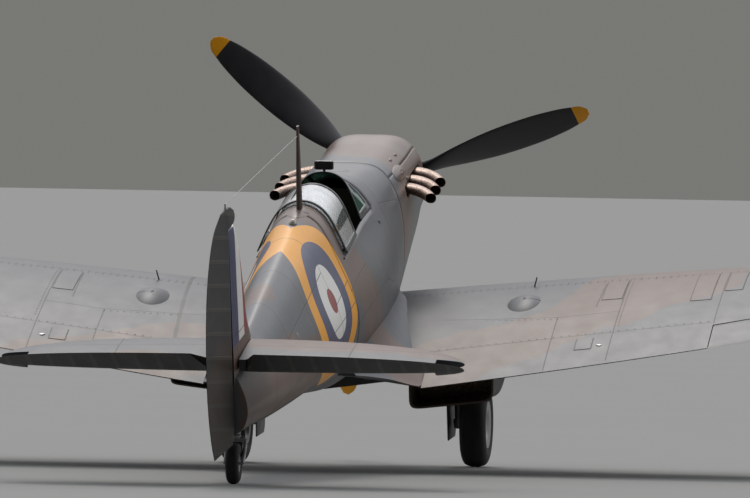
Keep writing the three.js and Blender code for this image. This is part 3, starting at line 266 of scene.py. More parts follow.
def body_values(station):
    """One row of section sizes between the rows given, on a smooth curve through them."""
    known = BODY_ROWS[:, 0]
    after = int(np.clip(np.searchsorted(known, station, side="right"), 1, len(known) - 1))
    ahead = after - 2 if after > 1 else after
    behind = after + 1 if after + 1 < len(known) else after - 1
    rows = [ahead, after - 1, after, behind]
    before, start, end, beyond = (known[row] for row in rows)
    half = (end - start) / 2
    entry = half / (start - before)
    leave = half / (beyond - end)
    t = (station - start) / (end - start)
    shares = [
        -entry * t**3 + 2 * entry * t**2 - entry * t,
        (1 + entry) * t**3 - (1.5 + 2 * entry) * t**2 + (entry - 0.5) * t + 1,
        (-1 - leave) * t**3 + (1.5 + leave) * t**2 + 0.5 * t,
        leave * t**3 - leave * t**2,
    ]
    return sum(share * BODY_ROWS[row, 1:] for share, row in zip(shares, rows))


def body_curve(station, turns):
    """Points x, z of a section; a turn runs from 0 at the top over to starboard and round to 1."""
    top, *sides, bottom = body_values(station)
    half = np.array(sides).reshape(4, 2)
    port = half[::-1] * (-1, 1)
    corners = np.vstack([[(0, top)], half, [(0, bottom)], port])
    count = len(corners)
    along = (np.asarray(turns) % 1.0) * count
    first = np.floor(along).astype(int) % count
    t = (along - np.floor(along))[:, None]
    p0, p1, p2, p3 = (corners[(first + shift) % count] for shift in (-1, 0, 1, 2))
    gap = [np.sqrt(np.linalg.norm(b - a, axis=1))[:, None] for a, b in ((p0, p1), (p1, p2), (p2, p3))]
    leave = ((p1 - p0) / gap[0] - (p2 - p0) / (gap[0] + gap[1]) + (p2 - p1) / gap[1]) * gap[1]
    enter = ((p2 - p1) / gap[1] - (p3 - p1) / (gap[1] + gap[2]) + (p3 - p2) / gap[2]) * gap[1]
    bend = -3 * p1 + 3 * p2 - 2 * leave - enter
    return p1 + leave * t + bend * t**2 + (2 * p1 - 2 * p2 + leave + enter) * t**3


def body_ring(station, turns, out=0.0):
    """Level places round a section, moved out of the surface by a distance."""
    STEP = 1e-4
    turns = np.asarray(turns, float)
    flat = body_curve(station, turns)
    way = body_curve(station, turns + STEP) - body_curve(station, turns - STEP)
    way /= np.linalg.norm(way, axis=1)[:, None]
    flat = flat + out * np.column_stack([-way[:, 1], way[:, 0]])
    return level_rows(flat[:, 0], station, flat[:, 1])


def turn_at(station, z):
    """The turn at which the starboard side is at a height."""
    turns = np.linspace(0, 0.5, FINE_TURNS)
    heights = body_curve(station, turns)[:, 1]
    return float(np.interp(-z, -heights, turns))


def girths(station, turns):
    """Distances round the section from its top, below 0 to port."""
    fine = np.linspace(0, 0.5, FINE_TURNS)
    path = body_curve(station, fine)
    run = np.concatenate([[0], np.cumsum(np.linalg.norm(np.diff(path, axis=0), axis=1))])
    turns = (np.asarray(turns) + 0.5) % 1.0 - 0.5
    return np.sign(turns) * np.interp(np.abs(turns), fine, run)


def spread(low, high, pitch, *marks):
    """Values from low to high, no further apart than a pitch, with each mark among them."""
    stops = sorted({low, high, *[m for m in marks if low < m < high]})
    parts = []
    for a, b in zip(stops, stops[1:]):
        cells = max(1, math.ceil((b - a) / pitch - ROUNDING))
        parts.append(np.linspace(a, b, cells + 1)[:-1])
    return np.concatenate([*parts, [high]])


def grid_faces(rows, columns, closed=False, keep=None):
    """Quads between the rows and columns of a grid of vertices, where keep(row, column) allows."""
    wide = columns if closed else columns - 1
    cells = [(r, c) for r in range(rows - 1) for c in range(wide) if keep is None or keep(r, c)]
    return [(r * columns + c, r * columns + (c + 1) % columns, (r + 1) * columns + (c + 1) % columns,
             (r + 1) * columns + c) for r, c in cells]


SHARP_EDGE = math.radians(35)


def tidy(piece):
    """Drops loose vertices, points the faces out and shades them smooth but at sharp edges."""
    work = bmesh.new()
    work.from_mesh(piece.data)
    bmesh.ops.delete(work, geom=[v for v in work.verts if not v.link_faces], context="VERTS")
    bmesh.ops.recalc_face_normals(work, faces=work.faces)
    work.to_mesh(piece.data)
    work.free()
    piece.data.shade_smooth()
    piece.data.set_sharp_from_angle(angle=SHARP_EDGE)
    return piece


def settle(piece):
    """Applies a piece's modifiers to its mesh."""
    bpy.context.view_layer.update()
    done = piece.evaluated_get(bpy.context.evaluated_depsgraph_get())
    mesh = bpy.data.meshes.new_from_object(done)
    piece.modifiers.clear()
    piece.data = mesh
    return piece


def coated(piece, *finishes):
    """Gives a piece its finish; a second one is for its lining."""
    for finish in finishes:
        piece.data.materials.append(finish)
    return piece


def fitted(piece, body, slot, *replaced):
    """Rides a piece on its body and hides the CAD nodes it stands for; its finish's name is not used."""
    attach(piece, body)
    if replaced:
        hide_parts(*replaced)
    return piece


def thicken(piece, thickness, lining=0):
    """Gives a sheet its thickness inward; a lining shifts the inner faces to another material."""
    walls = piece.modifiers.new("walls", "SOLIDIFY")
    walls.thickness = thickness
    walls.offset = -1
    walls.use_even_offset = True
    walls.material_offset = lining
    walls.material_offset_rim = 0
    return settle(piece)


def note_sheet(piece, rows):
    """Keeps each vertex's station and girth on a piece of the body's skin, for its paint."""
    mark = piece.data.attributes.new("sheet", "FLOAT_VECTOR", "POINT")
    mark.data.foreach_set("vector", np.array(rows, np.float32).ravel())
    return piece


def body_sheet(name, stations, turns_at, keep=None, closed=False):
    """A sheet of the body's skin through the turns given at each station."""
    rows = [turns_at(station) for station in stations]
    level = [body_ring(station, turns) for station, turns in zip(stations, rows)]
    columns = len(rows[0])
    piece = shaped(name, placed(np.vstack(level)), grid_faces(len(stations), columns, closed, keep))
    sheet = np.vstack([
        np.column_stack([np.full(columns, station), girths(station, turns), np.zeros(columns)])
        for station, turns in zip(stations, rows)
    ])
    return tidy(note_sheet(piece, sheet))


# The paint is a satin camouflage of dark green and dark earth above, sprayed with soft edges and thinned by
# weather, with the green tinted blue-grey as a painted reflection of the sky. Below it is the underside
# colour made near black as painted shade. It is the finish of all the outer metal.
# Dark green tinted blue-grey: the paint's colour with a painted reflection of the sky in it
GREEN_WITH_SKY_SHEEN = (0.096, 0.100, 0.110)
EARTH = (0.150, 0.094, 0.070)
FADED = (0.165, 0.150, 0.140)
# Near black: the underside colour darkened as painted shade
UNDER_PAINT_AND_SHADE = (0.018, 0.019, 0.018)
YELLOW = (0.95, 0.40, 0.0)
ROUNDEL_BLUE = (0.055, 0.062, 0.135)
ROUNDEL_RED = (0.30, 0.035, 0.028)
ROUNDEL_WHITE = (0.86, 0.84, 0.80)
DIRT = (0.045, 0.042, 0.036)
SEAM_DARK = (0.012, 0.012, 0.012)
PAINT_EDGE = 0.06
UNDER_EDGE = 0.05
DISC_EDGE = 0.004
BAND_WANDER = 0.55
BAND_RAGGED = 0.10
# Bands of dark earth as rows: across and along at one end, across and along at the other, half width.
# Across is x on the wings and tailplane, girth from the spine on the body, and height on the fin.
WING_BANDS = [
    (0.80, 4.10, 1.30, 3.65, 0.42),
    (1.30, 3.65, 1.95, 3.15, 0.36),
    (1.95, 3.15, 2.30, 2.70, 0.40),
    (2.30, 2.70, 2.55, 1.80, 0.55),
    (4.75, 3.60, 5.55, 2.20, 0.38),
    (-0.30, 3.65, -1.00, 3.75, 0.40),
    (-1.00, 3.85, -1.95, 4.38, 0.42),
    (-3.10, 1.60, -3.50, 3.10, 0.42),
    (-3.50, 3.10, -4.60, 3.70, 0.36),
]
BODY_BANDS = [
    (0.10, 0.55, 0.18, 1.70, 0.42),
    (0.15, 1.60, 0.75, 2.05, 0.30),
    (-0.60, 0.90, -1.30, 1.70, 0.35),
    (-0.30, 4.86, 0.25, 4.86, 0.24),
    (0.25, 4.86, 1.15, 4.15, 0.30),
    (-0.30, 4.86, -1.10, 5.60, 0.34),
    (0.95, 5.75, 0.55, 7.30, 0.26),
    (0.55, 7.30, 0.30, 8.60, 0.22),
    (-0.20, 6.70, -0.70, 7.60, 0.24),
    (-0.85, 2.60, -0.40, 3.35, 0.28),
]
FIN_BANDS = [
    (0.10, 8.95, 0.55, 7.90, 0.36),
    (-0.30, 8.40, 0.30, 8.60, 0.36),
]
TAILPLANE_BANDS = [
    (0.10, 7.60, 1.60, 7.75, 0.30),
    (-1.50, 8.70, -0.60, 8.35, 0.26),
]


def band_depth(shade, place, rows):
    """How far a place lies inside the nearest of the bands, below 0 outside them all."""
    deepest = None
    for across, along, far_across, far_along, half in rows:
        start = Vector((across, along, 0))
        run = Vector((far_across, far_along, 0)) - start
        arm = shade.vector("SUBTRACT", place, start)
        share = shade.vector("DOT_PRODUCT", arm, run / run.length_squared, out="Value")
        share = shade.node("Clamp", {}, {"Value": share})
        foot = shade.node("VectorMath", {"operation": "SCALE"}, {0: run, "Scale": share})
        depth = half - shade.vector("DISTANCE", arm, foot, out="Value")
        deepest = depth if deepest is None else deepest.maths("MAXIMUM", deepest, depth)
    return deepest


def level_place(shade):
    """Wires of x, station and height of the painted point on the level aircraft."""
    arm = shade.vector("SUBTRACT", shade.spot(), TIP)
    axes = (STARBOARD, -FORWARD, UP)
    return [shade.vector("DOT_PRODUCT", arm, axis, out="Value") for axis in axes]


def joined(shade, across, along):
    return shade.node("CombineXYZ", {}, {0: across, 1: along})


def facing_up(shade):
    normal = shade.node("TexCoord", {}, {}, out="Normal")
    return shade.vector("DOT_PRODUCT", normal, UP, out="Value")


def camouflage(shade, across, along, rows, shaded_underside_edge):
    """The upper colours in soft bands; where the surface faces down, the underside colour made near black as
    painted shade.
    """
    wander = (shade.noise(1.1, 3) - 0.5) * BAND_WANDER + (shade.noise(5, 3) - 0.5) * BAND_RAGGED
    depth = band_depth(shade, joined(shade, across, along), rows) + wander
    upper = depth.step(0.0, PAINT_EDGE).choose(GREEN_WITH_SKY_SHEEN, EARTH)
    faded = shade.noise(2.3, 6, (1, 2.5, 1)).choose(upper, FADED)
    tone = (shade.noise(2.3, 6, (1, 2.5, 1)) * 0.3).choose(upper, faded)
    return facing_up(shade).step(shaded_underside_edge, UNDER_EDGE).choose(UNDER_PAINT_AND_SHADE, tone)


def disc(shade, across, along, centre, colour, bands):
    """Rings painted round a centre: each row a radius and a colour, the widest first."""
    reach = shade.vector("DISTANCE", joined(shade, across, along), (*centre, 0), out="Value")
    for radius, ring in bands:
        colour = reach.step(radius, DISC_EDGE).choose(ring, colour)
    return colour


def line_mask(shade, place, rows, width):
    """1 on thin lines given as rows of across, along, far across, far along."""
    thin = [(*row, width / 2) for row in rows]
    return band_depth(shade, place, thin).step(0.0, width / 2)


def satin(shade, colour, seams=None):
    """The paint's shine: rubbed and dusty in patches, with the seams sunk and dark with dirt."""
    dust = shade.noise(7, 6, (1, 0.6, 1), 0.6)
    grime = shade.noise(26, 4)
    ripple = shade.noise(2.4, 2)
    made = {
        "Base_Color": (grime * 0.12).choose(colour, DIRT),
        "Roughness": 0.40 + dust * 0.15,
        "Normal": shade.bump(ripple, 0.10, 0.006),
    }
    if seams is not None:
        made["Base_Color"] = (seams * 0.75).choose(made["Base_Color"], SEAM_DARK)
        made["Normal"] = shade.bump(ripple * 0.004 - seams * 0.003, 0.5, 1.0)
    return made


PAINT_PLAIN = {"Coat_Weight": 0.05, "Coat_Roughness": 0.30, "Specular_IOR_Level": 0.30}
POLISHED = {"Coat_Weight": 0.26, "Coat_Roughness": 0.22, "Specular_IOR_Level": 0.4}
ROUNDEL_AT = (0.567, 5.50)
ROUNDEL_RINGS = [(0.622, YELLOW), (0.4445, ROUNDEL_BLUE), (0.267, ROUNDEL_WHITE), (0.089, ROUNDEL_RED)]
SEAM_WIDTH = 0.007
# Seams of the body's skin as rows: girth, station, far girth, far station, alike on both sides
BODY_SEAMS = [
    (-0.02, 2.95, 1.45, 2.95), (-0.02, 5.46, 1.25, 5.46), (-0.02, 6.20, 1.05, 6.20),
    (-0.02, 6.90, 0.90, 6.90), (-0.02, 7.52, 0.75, 7.52), (0.36, 5.46, 0.34, 7.52),
    (0.78, 4.94, 0.62, 7.52), (0.52, 2.34, 0.40, 2.95), (0.95, 3.10, 0.95, 4.94),
    (0.70, 4.15, 0.70, 4.94), (0.70, 4.15, 1.20, 4.15), (0.62, 4.94, 0.62, 5.46),
]


def body_paint(shade):
    sheet = shade.node("Attribute", {"attribute_name": "sheet"}, {}, out="Vector")
    station, girth = (shade.node("SeparateXYZ", {}, {0: sheet}, out=name) for name in "XY")
    colour = camouflage(shade, girth, station, BODY_BANDS, -0.62)
    colour = disc(shade, abs(girth), station, ROUNDEL_AT, colour, ROUNDEL_RINGS)
    seams = line_mask(shade, joined(shade, abs(girth), station), BODY_SEAMS, SEAM_WIDTH)
    return satin(shade, colour, seams)


painted_body = material("body camouflage", body_paint, **POLISHED)


# Cockpit green covers the inside of the shell and its fittings. It is brushed on and worn through in
# small patches.
COCKPIT_GREEN = (0.105, 0.150, 0.085)
CHIPPED = (0.30, 0.31, 0.29)


def cockpit_paint(shade):
    worn = shade.noise(14, 6, roughness=0.65).step(0.64, 0.06)
    return {
        "Base_Color": (worn * 0.5).choose(COCKPIT_GREEN, CHIPPED),
        "Roughness": 0.5 + shade.noise(30) * 0.2,
    }


cockpit_green = material("cockpit green", cockpit_paint)

# The centre fuselage is a stressed shell of light alloy on frames, open over the cockpit, with a drop
# door to port. It is drawn as one sheet with the openings left out, then given its thickness.
SILL_Z = 0.398
DECK_END = 3.150
GLAZING_END = 4.720
DOOR_FRONT = 3.575
DOOR_REAR = 4.060
DOOR_LOW = 0.055
DOOR_GAP = 0.006
SHEET_PITCH = 0.065
CROWN_COLUMNS = 22
SIDE_COLUMNS = 9
BELLY_COLUMNS = 30
DOORWAY = (DOOR_FRONT - DOOR_GAP, DOOR_REAR + DOOR_GAP)


def stepped(marks, counts):
    """Values from each mark to the next, as many as its count, and the last mark."""
    parts = [np.linspace(a, b, n, endpoint=False) for a, b, n in zip(marks, marks[1:], counts)]
    return np.concatenate([*parts, marks[-1:]])


def shell_turns(station):
    """Turns round the section, with columns on the sill and on the door's lower edge."""
    marks = [0, turn_at(station, SILL_Z), turn_at(station, DOOR_LOW - DOOR_GAP), 0.5]
    starboard = stepped(marks, (CROWN_COLUMNS, SIDE_COLUMNS, BELLY_COLUMNS))
    return np.concatenate([starboard, 1 - starboard[-2:0:-1]])


shell_stations = spread(FIREWALL, REAR_BULKHEAD, SHEET_PITCH, DECK_END, GLAZING_END, *DOORWAY)
shell_columns = len(shell_turns(FIREWALL))


def shell_cell(row, column):
    """False in the cockpit's opening and in the doorway."""
    middle = (shell_stations[row] + shell_stations[row + 1]) / 2
    from_top = min(column, shell_columns - 1 - column)
    open_above = DECK_END < middle < GLAZING_END and from_top < CROWN_COLUMNS
    port = column > shell_columns / 2
    doorway = port and DOORWAY[0] < middle < DOORWAY[1]
    return not open_above and not (doorway and CROWN_COLUMNS <= from_top < CROWN_COLUMNS + SIDE_COLUMNS)


shell = body_sheet("fuselage_centre_skin", shell_stations, shell_turns, keep=shell_cell, closed=True)
shell = thicken(coated(shell, painted_body, cockpit_green), SKIN, lining=1)
fitted(shell, "airframe", "camouflage", "fuselage_centre")


def door_turns(station):
    return np.linspace(1 - turn_at(station, SILL_Z), 1 - turn_at(station, DOOR_LOW), SIDE_COLUMNS + 1)


door = body_sheet("cockpit_door_skin", spread(DOOR_FRONT, DOOR_REAR, SHEET_PITCH), door_turns)
door = thicken(coated(door, painted_body, cockpit_green), SKIN, lining=1)
fitted(door, "door", "camouflage", "cockpit_door")

# The rear fuselage is a tapering shell of rolled sheets on frames, closed at both ends. A hair is left
# between it and the centre fuselage, as between all pieces that meet.
HAIR = 0.0004
REAR_TURNS = np.linspace(0, 1, 128, endpoint=False)
rear_stations = spread(REAR_BULKHEAD + HAIR, TAIL_END, SHEET_PITCH)
rear = body_sheet("fuselage_rear_skin", rear_stations, lambda station: REAR_TURNS, closed=True)


def close_ends(piece):
    """Fills the open ends of a tube."""
    work = bmesh.new()
    work.from_mesh(piece.data)
    bmesh.ops.holes_fill(work, edges=[e for e in work.edges if e.is_boundary])
    work.to_mesh(piece.data)
    work.free()
    return tidy(piece)


fitted(close_ends(coated(rear, painted_body)), "airframe", "camouflage", "fuselage_rear")

# The engine cowling is four panels of thin sheet over the engine, held by quarter-turn fasteners along
# their edges; the side panels have a slot where the exhaust stubs come out.
# Where the side panels meet the others, and half the joint between them, in turns round the section
COWL_TOP_EDGE = 5 / 32
COWL_LOW_EDGE = 12 / 32
COWL_JOINT = 0.0004
COWL_END = FIREWALL - 0.002
SLOT_FRONT = 1.100
SLOT_REAR = 1.925
SLOT_LOW = 0.210
SLOT_HIGH = 0.294
COWL_PITCH = 0.055
COWL_COLUMNS = 26
COLUMNS_OVER_SLOT = 8
COLUMNS_IN_SLOT = 3
COLUMNS_UNDER_SLOT = 22
cowl_stations = spread(COWL_FRONT, COWL_END, COWL_PITCH, SLOT_FRONT, SLOT_REAR)


def cowl_panel(name, turns, keep=None):
    panel = body_sheet("cowl_skin_" + name, cowl_stations, turns, keep)
    fitted(thicken(coated(panel, painted_body), SKIN), "airframe", "camouflage", "cowling_" + name)


def beside_slot(row, column):
    """False in the slot of a side panel."""
    middle = (cowl_stations[row] + cowl_stations[row + 1]) / 2
    from_slot = column - COLUMNS_OVER_SLOT
    return not (SLOT_FRONT < middle < SLOT_REAR and 0 <= from_slot < COLUMNS_IN_SLOT)


def side_turns(station):
    """Turns down a side panel, with columns on the slot's edges."""
    beside = min(max(station, SLOT_FRONT), SLOT_REAR)
    marks = [COWL_TOP_EDGE + COWL_JOINT, turn_at(beside, SLOT_HIGH), turn_at(beside, SLOT_LOW),
             COWL_LOW_EDGE - COWL_JOINT]
    return stepped(marks, (COLUMNS_OVER_SLOT, COLUMNS_IN_SLOT, COLUMNS_UNDER_SLOT))


top_turns = np.linspace(-COWL_TOP_EDGE + COWL_JOINT, COWL_TOP_EDGE - COWL_JOINT, COWL_COLUMNS)
low_turns = np.linspace(COWL_LOW_EDGE + COWL_JOINT, 1 - COWL_LOW_EDGE - COWL_JOINT, COWL_COLUMNS)
cowl_panel("top", lambda station: top_turns)
cowl_panel("bottom", lambda station: low_turns)
cowl_panel("left", lambda station: 1 - side_turns(station), beside_slot)
cowl_panel("right", side_turns, beside_slot)

# Small fairings and covers stand on the body's skin: a plate round the foot of the mast, a clear lamp
# behind it, a blister with its bumps on the cowling, and filler caps. They are pressed and screwed on.
CLEAR_LAMP = (0.55, 0.50, 0.42)
COVER_SHEET = 0.002
COVER_OFF_SKIN = 0.0006
COVER_RIM = 0.999
COVER_ROUND = 0.8
# Name, station, girth, half length, half girth, how proud
BODY_COVERS = [
    ("mast_plate", 4.880, 0.0, 0.130, 0.080, 0.005),
    ("cowl_blister", 1.900, 0.372, 0.230, 0.062, 0.026),
    ("cowl_bump_front", 1.560, 0.262, 0.040, 0.016, 0.010),
    ("cowl_bump_rear", 1.820, 0.262, 0.040, 0.016, 0.010),
    ("cowl_knob", 1.700, 0.452, 0.022, 0.018, 0.012),
    ("side_cap", 6.660, 0.425, 0.045, 0.040, 0.004),
    ("deck_cap", 2.720, 0.0, 0.075, 0.070, 0.004),
]
LAMP = (5.140, 0.0, 0.038, 0.030, 0.030)


def body_cover(name, station, girth, half_length, half_girth, proud):
    """A low dome on the body's skin, longer or wider as its halves say."""
    RINGS, SIDE_COUNT = 9, 37
    fine = np.linspace(-0.499, 0.499, 900)
    level, sheet = [], []
    for r in np.sin(np.linspace(0.02, 1, RINGS) * math.pi / 2):
        for angle in np.linspace(0, 2 * math.pi, SIDE_COUNT):
            s = station + half_length * r * math.sin(angle)
            g = girth + half_girth * r * math.cos(angle)
            turn = float(np.interp(g, girths(s, fine), fine))
            lift = proud * (1 - r**2) ** COVER_ROUND + (COVER_OFF_SKIN if r < COVER_RIM else -COVER_SHEET)
            level.append(body_ring(s, [turn], lift)[0])
            sheet.append((s, g, 0))
    piece = shaped(name, placed(level), grid_faces(RINGS, SIDE_COUNT))
    return thicken(tidy(note_sheet(piece, sheet)), COVER_SHEET)


def lamp_finish(shade):
    return {"Roughness": 0.05 + shade.noise(30) * 0.1}


lamp_shine = {"Transmission_Weight": 0.5, "Coat_Weight": 0.8}
lamp_glass = material("lamp glass", lamp_finish, Base_Color=CLEAR_LAMP, **lamp_shine)
for name, *sizes in BODY_COVERS:
    fitted(coated(body_cover(name, *sizes), painted_body), "airframe", "camouflage")
fitted(coated(body_cover("spine_lamp", *LAMP), lamp_glass), "airframe", "canopy_glass")

# The wings are elliptical in plan, of stressed sheet on one spar, thin to the tips and twisted so that
# the tips meet the air at less of an angle. The sections are aerofoils between a root and a tip thickness.
HALF_SPAN = 5.615
WING_AXIS = 2.550
WING_AHEAD = 0.800
WING_BEHIND = 1.740
WING_Z = -0.685
DIHEDRAL = math.tan(math.radians(6.9))
ROOT_INCIDENCE = 2.6
TIP_INCIDENCE = -0.6
THICK_ROOT = 0.137
THICK_TIP = 0.075
CAMBER = 0.02


def foil_half(thickness, share):
    """Half the height of an aerofoil of unit chord at a share of its chord."""
    poly = -0.126 * share - 0.3516 * share**2 + 0.2843 * share**3 - 0.1015 * share**4
    return 5 * thickness * (0.2969 * np.sqrt(share) + poly)


def bow(share):
    CREST = 0.4
    reach = np.where(share < CREST, CREST, 1 - CREST)
    return CAMBER * (1 - ((share - CREST) / reach) ** 2)


def wing_edges(x):
    ellipse = math.sqrt(max(0.0, 1 - (x / HALF_SPAN) ** 2))
    return WING_AXIS - WING_AHEAD * ellipse, WING_AXIS + WING_BEHIND * ellipse


def wing_point(side, x, share, height):
    """A level place from x, the share of the chord aft and the height in chords over the chord line."""
    lead, trail = wing_edges(x)
    twist = math.tan(math.radians(ROOT_INCIDENCE + (TIP_INCIDENCE - ROOT_INCIDENCE) * x / HALF_SPAN))
    station = lead + (trail - lead) * share
    z = WING_Z + x * DIHEDRAL + height * (trail - lead) - (station - WING_AXIS) * twist
    return level_rows(side * x, station, z)


def wing_half(x, share):
    """Half the wing's height at x, in chords."""
    return foil_half(THICK_ROOT + (THICK_TIP - THICK_ROOT) * x / HALF_SPAN, share)


def chord_share(x, station):
    lead, trail = wing_edges(x)
    return (station - lead) / (trail - lead)


def wing_top(side, x, station, over=0.0, face=1):
    """The level place on the wing's upper surface, or with face -1 its lower one, over x and a station."""
    share = np.array([chord_share(x, station)])
    height = bow(share) + face * wing_half(x, share)
    return wing_point(side, x, share, height)[0] + (0, 0, face * over)


def foil_ring(side, x, steps=34):
    """A closed section of the wing, fine at the nose, from the trailing edge over the top."""
    turn = np.linspace(0, 1, steps + 1)
    shares = 1 - np.cos(turn * math.pi / 2)
    half = wing_half(x, shares)
    over = wing_point(side, x, shares[::-1], (bow(shares) + half)[::-1])
    below = wing_point(side, x, shares[1:], (bow(shares) - half)[1:])
    return np.vstack([over, below])


def lofted(name, rings, ends=True):
    """A closed skin through rings of level places, all with as many points."""
    rings = [np.asarray(ring, float) for ring in rings]
    columns = len(rings[0])
    faces = grid_faces(len(rings), columns, closed=True)
    if ends:
        last = (len(rings) - 1) * columns
        faces += [tuple(range(columns))[::-1], tuple(range(last, last + columns))]
    return tidy(shaped(name, placed(np.vstack(rings)), faces))


def box_piece(name, across, along, upward):
    """A box from ranges of x, station and height."""
    (low_x, high_x), (low_z, high_z) = across, upward
    ring = ((low_x, low_z), (high_x, low_z), (high_x, high_z), (low_x, high_z))
    corners = [(x, s, z) for s in along for x, z in ring]
    faces = [(0, 1, 2, 3), (7, 6, 5, 4), (0, 4, 5, 1), (1, 5, 6, 2), (2, 6, 7, 3), (3, 7, 4, 0)]
    return tidy(shaped(name, placed(corners), faces))


def carve(piece, *tools):
    """Cuts the tools' shapes out of a piece and deletes the tools."""
    for tool in tools:
        knife = piece.modifiers.new("cut", "BOOLEAN")
        knife.operation = "DIFFERENCE"
        knife.solver = "EXACT"
        knife.object = tool
    settle(piece)
    for tool in tools:
        bpy.data.objects.remove(tool)
    return tidy(piece)


SIDES = {"left": -1, "right": 1}
WING_SPAN_DRAWN = 0.9985
WING_FIT = 0.0016
AILERON_IN = 2.805
AILERON_OUT = 5.040
AILERON_HINGE_IN = 3.665
AILERON_HINGE_OUT = 3.075
MOVING_GAP = 0.007
WELL_X = 1.660
WELL_STATION = 2.380
WELL_RADIUS = 0.345
WELL_ROOF = 0.070
LEG_WELL_IN = 0.590
LEG_WELL_ROOF_X = 0.7
LEG_WELL_STATIONS = (1.935, 2.330)
FLAP_IN = 0.800
FLAP_OUT = 2.770
FLAP_HINGE_IN = 3.858
FLAP_HINGE_OUT = 3.705
FLAP_THICK = 0.011
FLAP_TIP_SHARE = 0.965
FLAP_GAP = 0.0052
ROOT_NOTCH = (0.780, 3.800)
WING_FINE = 60
FAR = 3.0


def between(a, b, share):
    return a + (b - a) * share


def aileron_hinge(x):
    return between(AILERON_HINGE_IN, AILERON_HINGE_OUT, (x - AILERON_IN) / (AILERON_OUT - AILERON_IN))


def nose_ring(side, x, station, extra=0.0, count=24):
    """A circle round the aileron's hinge, as high as the wing there and wider by a gap."""
    share = np.array([chord_share(x, station)])
    lead, trail = wing_edges(x)
    centre = wing_point(side, x, share, bow(share))[0]
    radius = float(wing_half(x, share)[0]) * (trail - lead) + extra
    turn = circle(count)
    return centre + radius * np.column_stack([np.zeros(count), np.cos(turn), np.sin(turn)])


def slab(name, outline, low, high):
    """A flat outline of x, station pairs made thick between two heights."""
    return lofted(name, [[(x, s, z) for x, s in outline] for z in (low, high)])


def aileron_room(side):
    xs = np.linspace(AILERON_IN - MOVING_GAP, AILERON_OUT + MOVING_GAP, 5)
    ends = [(side * x, aileron_hinge(x) - MOVING_GAP) for x in (xs[0], xs[-1])]
    behind = slab("room", [*ends, (ends[1][0], FAR * 2), (ends[0][0], FAR * 2)], -FAR, FAR)
    cove = lofted("cove", [nose_ring(side, x, aileron_hinge(x), MOVING_GAP) for x in xs])
    return behind, cove


def wheel_well(side):
    roof = WING_Z + WELL_X * DIHEDRAL + WELL_ROOF
    turn = circle(48)
    across = side * WELL_X + WELL_RADIUS * np.cos(turn)
    ring = list(zip(across, WELL_STATION + WELL_RADIUS * np.sin(turn)))
    leg_roof = WING_Z + LEG_WELL_ROOF_X * DIHEDRAL + WELL_ROOF / 2
    xs = sorted((side * LEG_WELL_IN, side * WELL_X))
    return slab("well", ring, -FAR, roof), box_piece("trough", xs, LEG_WELL_STATIONS, (-FAR, leg_roof))


def flap_rings(side, gap, fine=16):
    """Sections of the split flap in the wing's lower skin, or of its room with a gap all round."""
    rings = []
    for x in np.linspace(FLAP_IN - gap, FLAP_OUT + gap, fine):
        lead, trail = wing_edges(x)
        chord = trail - lead
        hinge = between(FLAP_HINGE_IN, FLAP_HINGE_OUT, (x - FLAP_IN) / (FLAP_OUT - FLAP_IN)) - gap
        shares = np.linspace((hinge - lead) / chord, FLAP_TIP_SHARE + gap / chord, 8)
        lower = bow(shares) - wing_half(x, shares)
        low = wing_point(side, x, shares, lower - gap / 2 / chord)
        high = wing_point(side, x, shares, lower + (FLAP_THICK + gap) / chord)
        rings.append(np.vstack([low, high[::-1]]))
    return rings


WING_SEAM_WIDTH = 0.006
# Seams of the wing's skin as rows: x, station, far x, far station, the same on both wings
WING_SEAMS = [
    (0.45, 2.39, 2.60, 2.40), (2.60, 2.40, 4.80, 2.44), (0.80, 3.10, 1.10, 3.16), (1.10, 3.16, 1.66, 3.25),
    (1.66, 3.25, 2.08, 3.22), (2.08, 2.40, 2.08, 4.12), (1.91, 2.48, 1.90, 3.08), (1.64, 3.25, 1.64, 4.20),
    (3.40, 2.42, 3.40, 3.45), (4.20, 2.43, 4.20, 3.25), (2.80, 2.40, 2.80, 3.62), (0.70, 3.70, 2.78, 3.60),
]
# The walkway's dark edge beside the port root: x, station, far x, far station
WALKWAY = [(-1.18, 1.80, -1.08, 3.62)]
WALKWAY_WIDTH = 0.028
# Hatches as rows: least x, least station, greatest x, greatest station
WING_HATCHES = [
    (1.92, 2.44, 2.07, 2.94), (2.58, 2.44, 2.73, 3.12), (2.81, 2.44, 2.94, 2.94), (3.55, 2.50, 3.70, 3.02),
    (1.83, 3.71, 1.95, 3.90),
]


def hatch_edges(rows):
    return [edge for a, b, c, d in rows for edge in ((a, b, c, b), (c, b, c, d), (c, d, a, d), (a, d, a, b))]


BLACK = (0.014, 0.014, 0.016)
UPPER_ROUNDEL = [(0.711, ROUNDEL_BLUE), (0.284, ROUNDEL_RED)]
LOWER_ROUNDEL = [(0.635, ROUNDEL_BLUE), (0.40, ROUNDEL_WHITE), (0.16, ROUNDEL_RED)]
WING_ROUNDEL_AT = (4.02, 2.78)


def wing_paint(shade):
    x, station = level_place(shade)[:2]
    colour = camouflage(shade, x, station, WING_BANDS, 0.0)
    above = disc(shade, abs(x), station, WING_ROUNDEL_AT, colour, UPPER_ROUNDEL)
    below = disc(shade, abs(x), station, WING_ROUNDEL_AT, colour, LOWER_ROUNDEL)
    colour = facing_up(shade).step(0.0, UNDER_EDGE).choose(below, above)
    lines = WING_SEAMS + hatch_edges(WING_HATCHES)
    place = joined(shade, abs(x), station)
    port_edge = line_mask(shade, joined(shade, x, station), WALKWAY, WALKWAY_WIDTH)
    colour = port_edge.choose(colour, BLACK)
    return satin(shade, colour, line_mask(shade, place, lines, WING_SEAM_WIDTH))


painted_wing = material("wing camouflage", wing_paint, **PAINT_PLAIN)


def body_room(extra):
    turns = np.linspace(0, 1, 96, endpoint=False)
    return lofted("room", [body_ring(s, turns, extra) for s in spread(COWL_FRONT, TAIL_END, 0.13)])


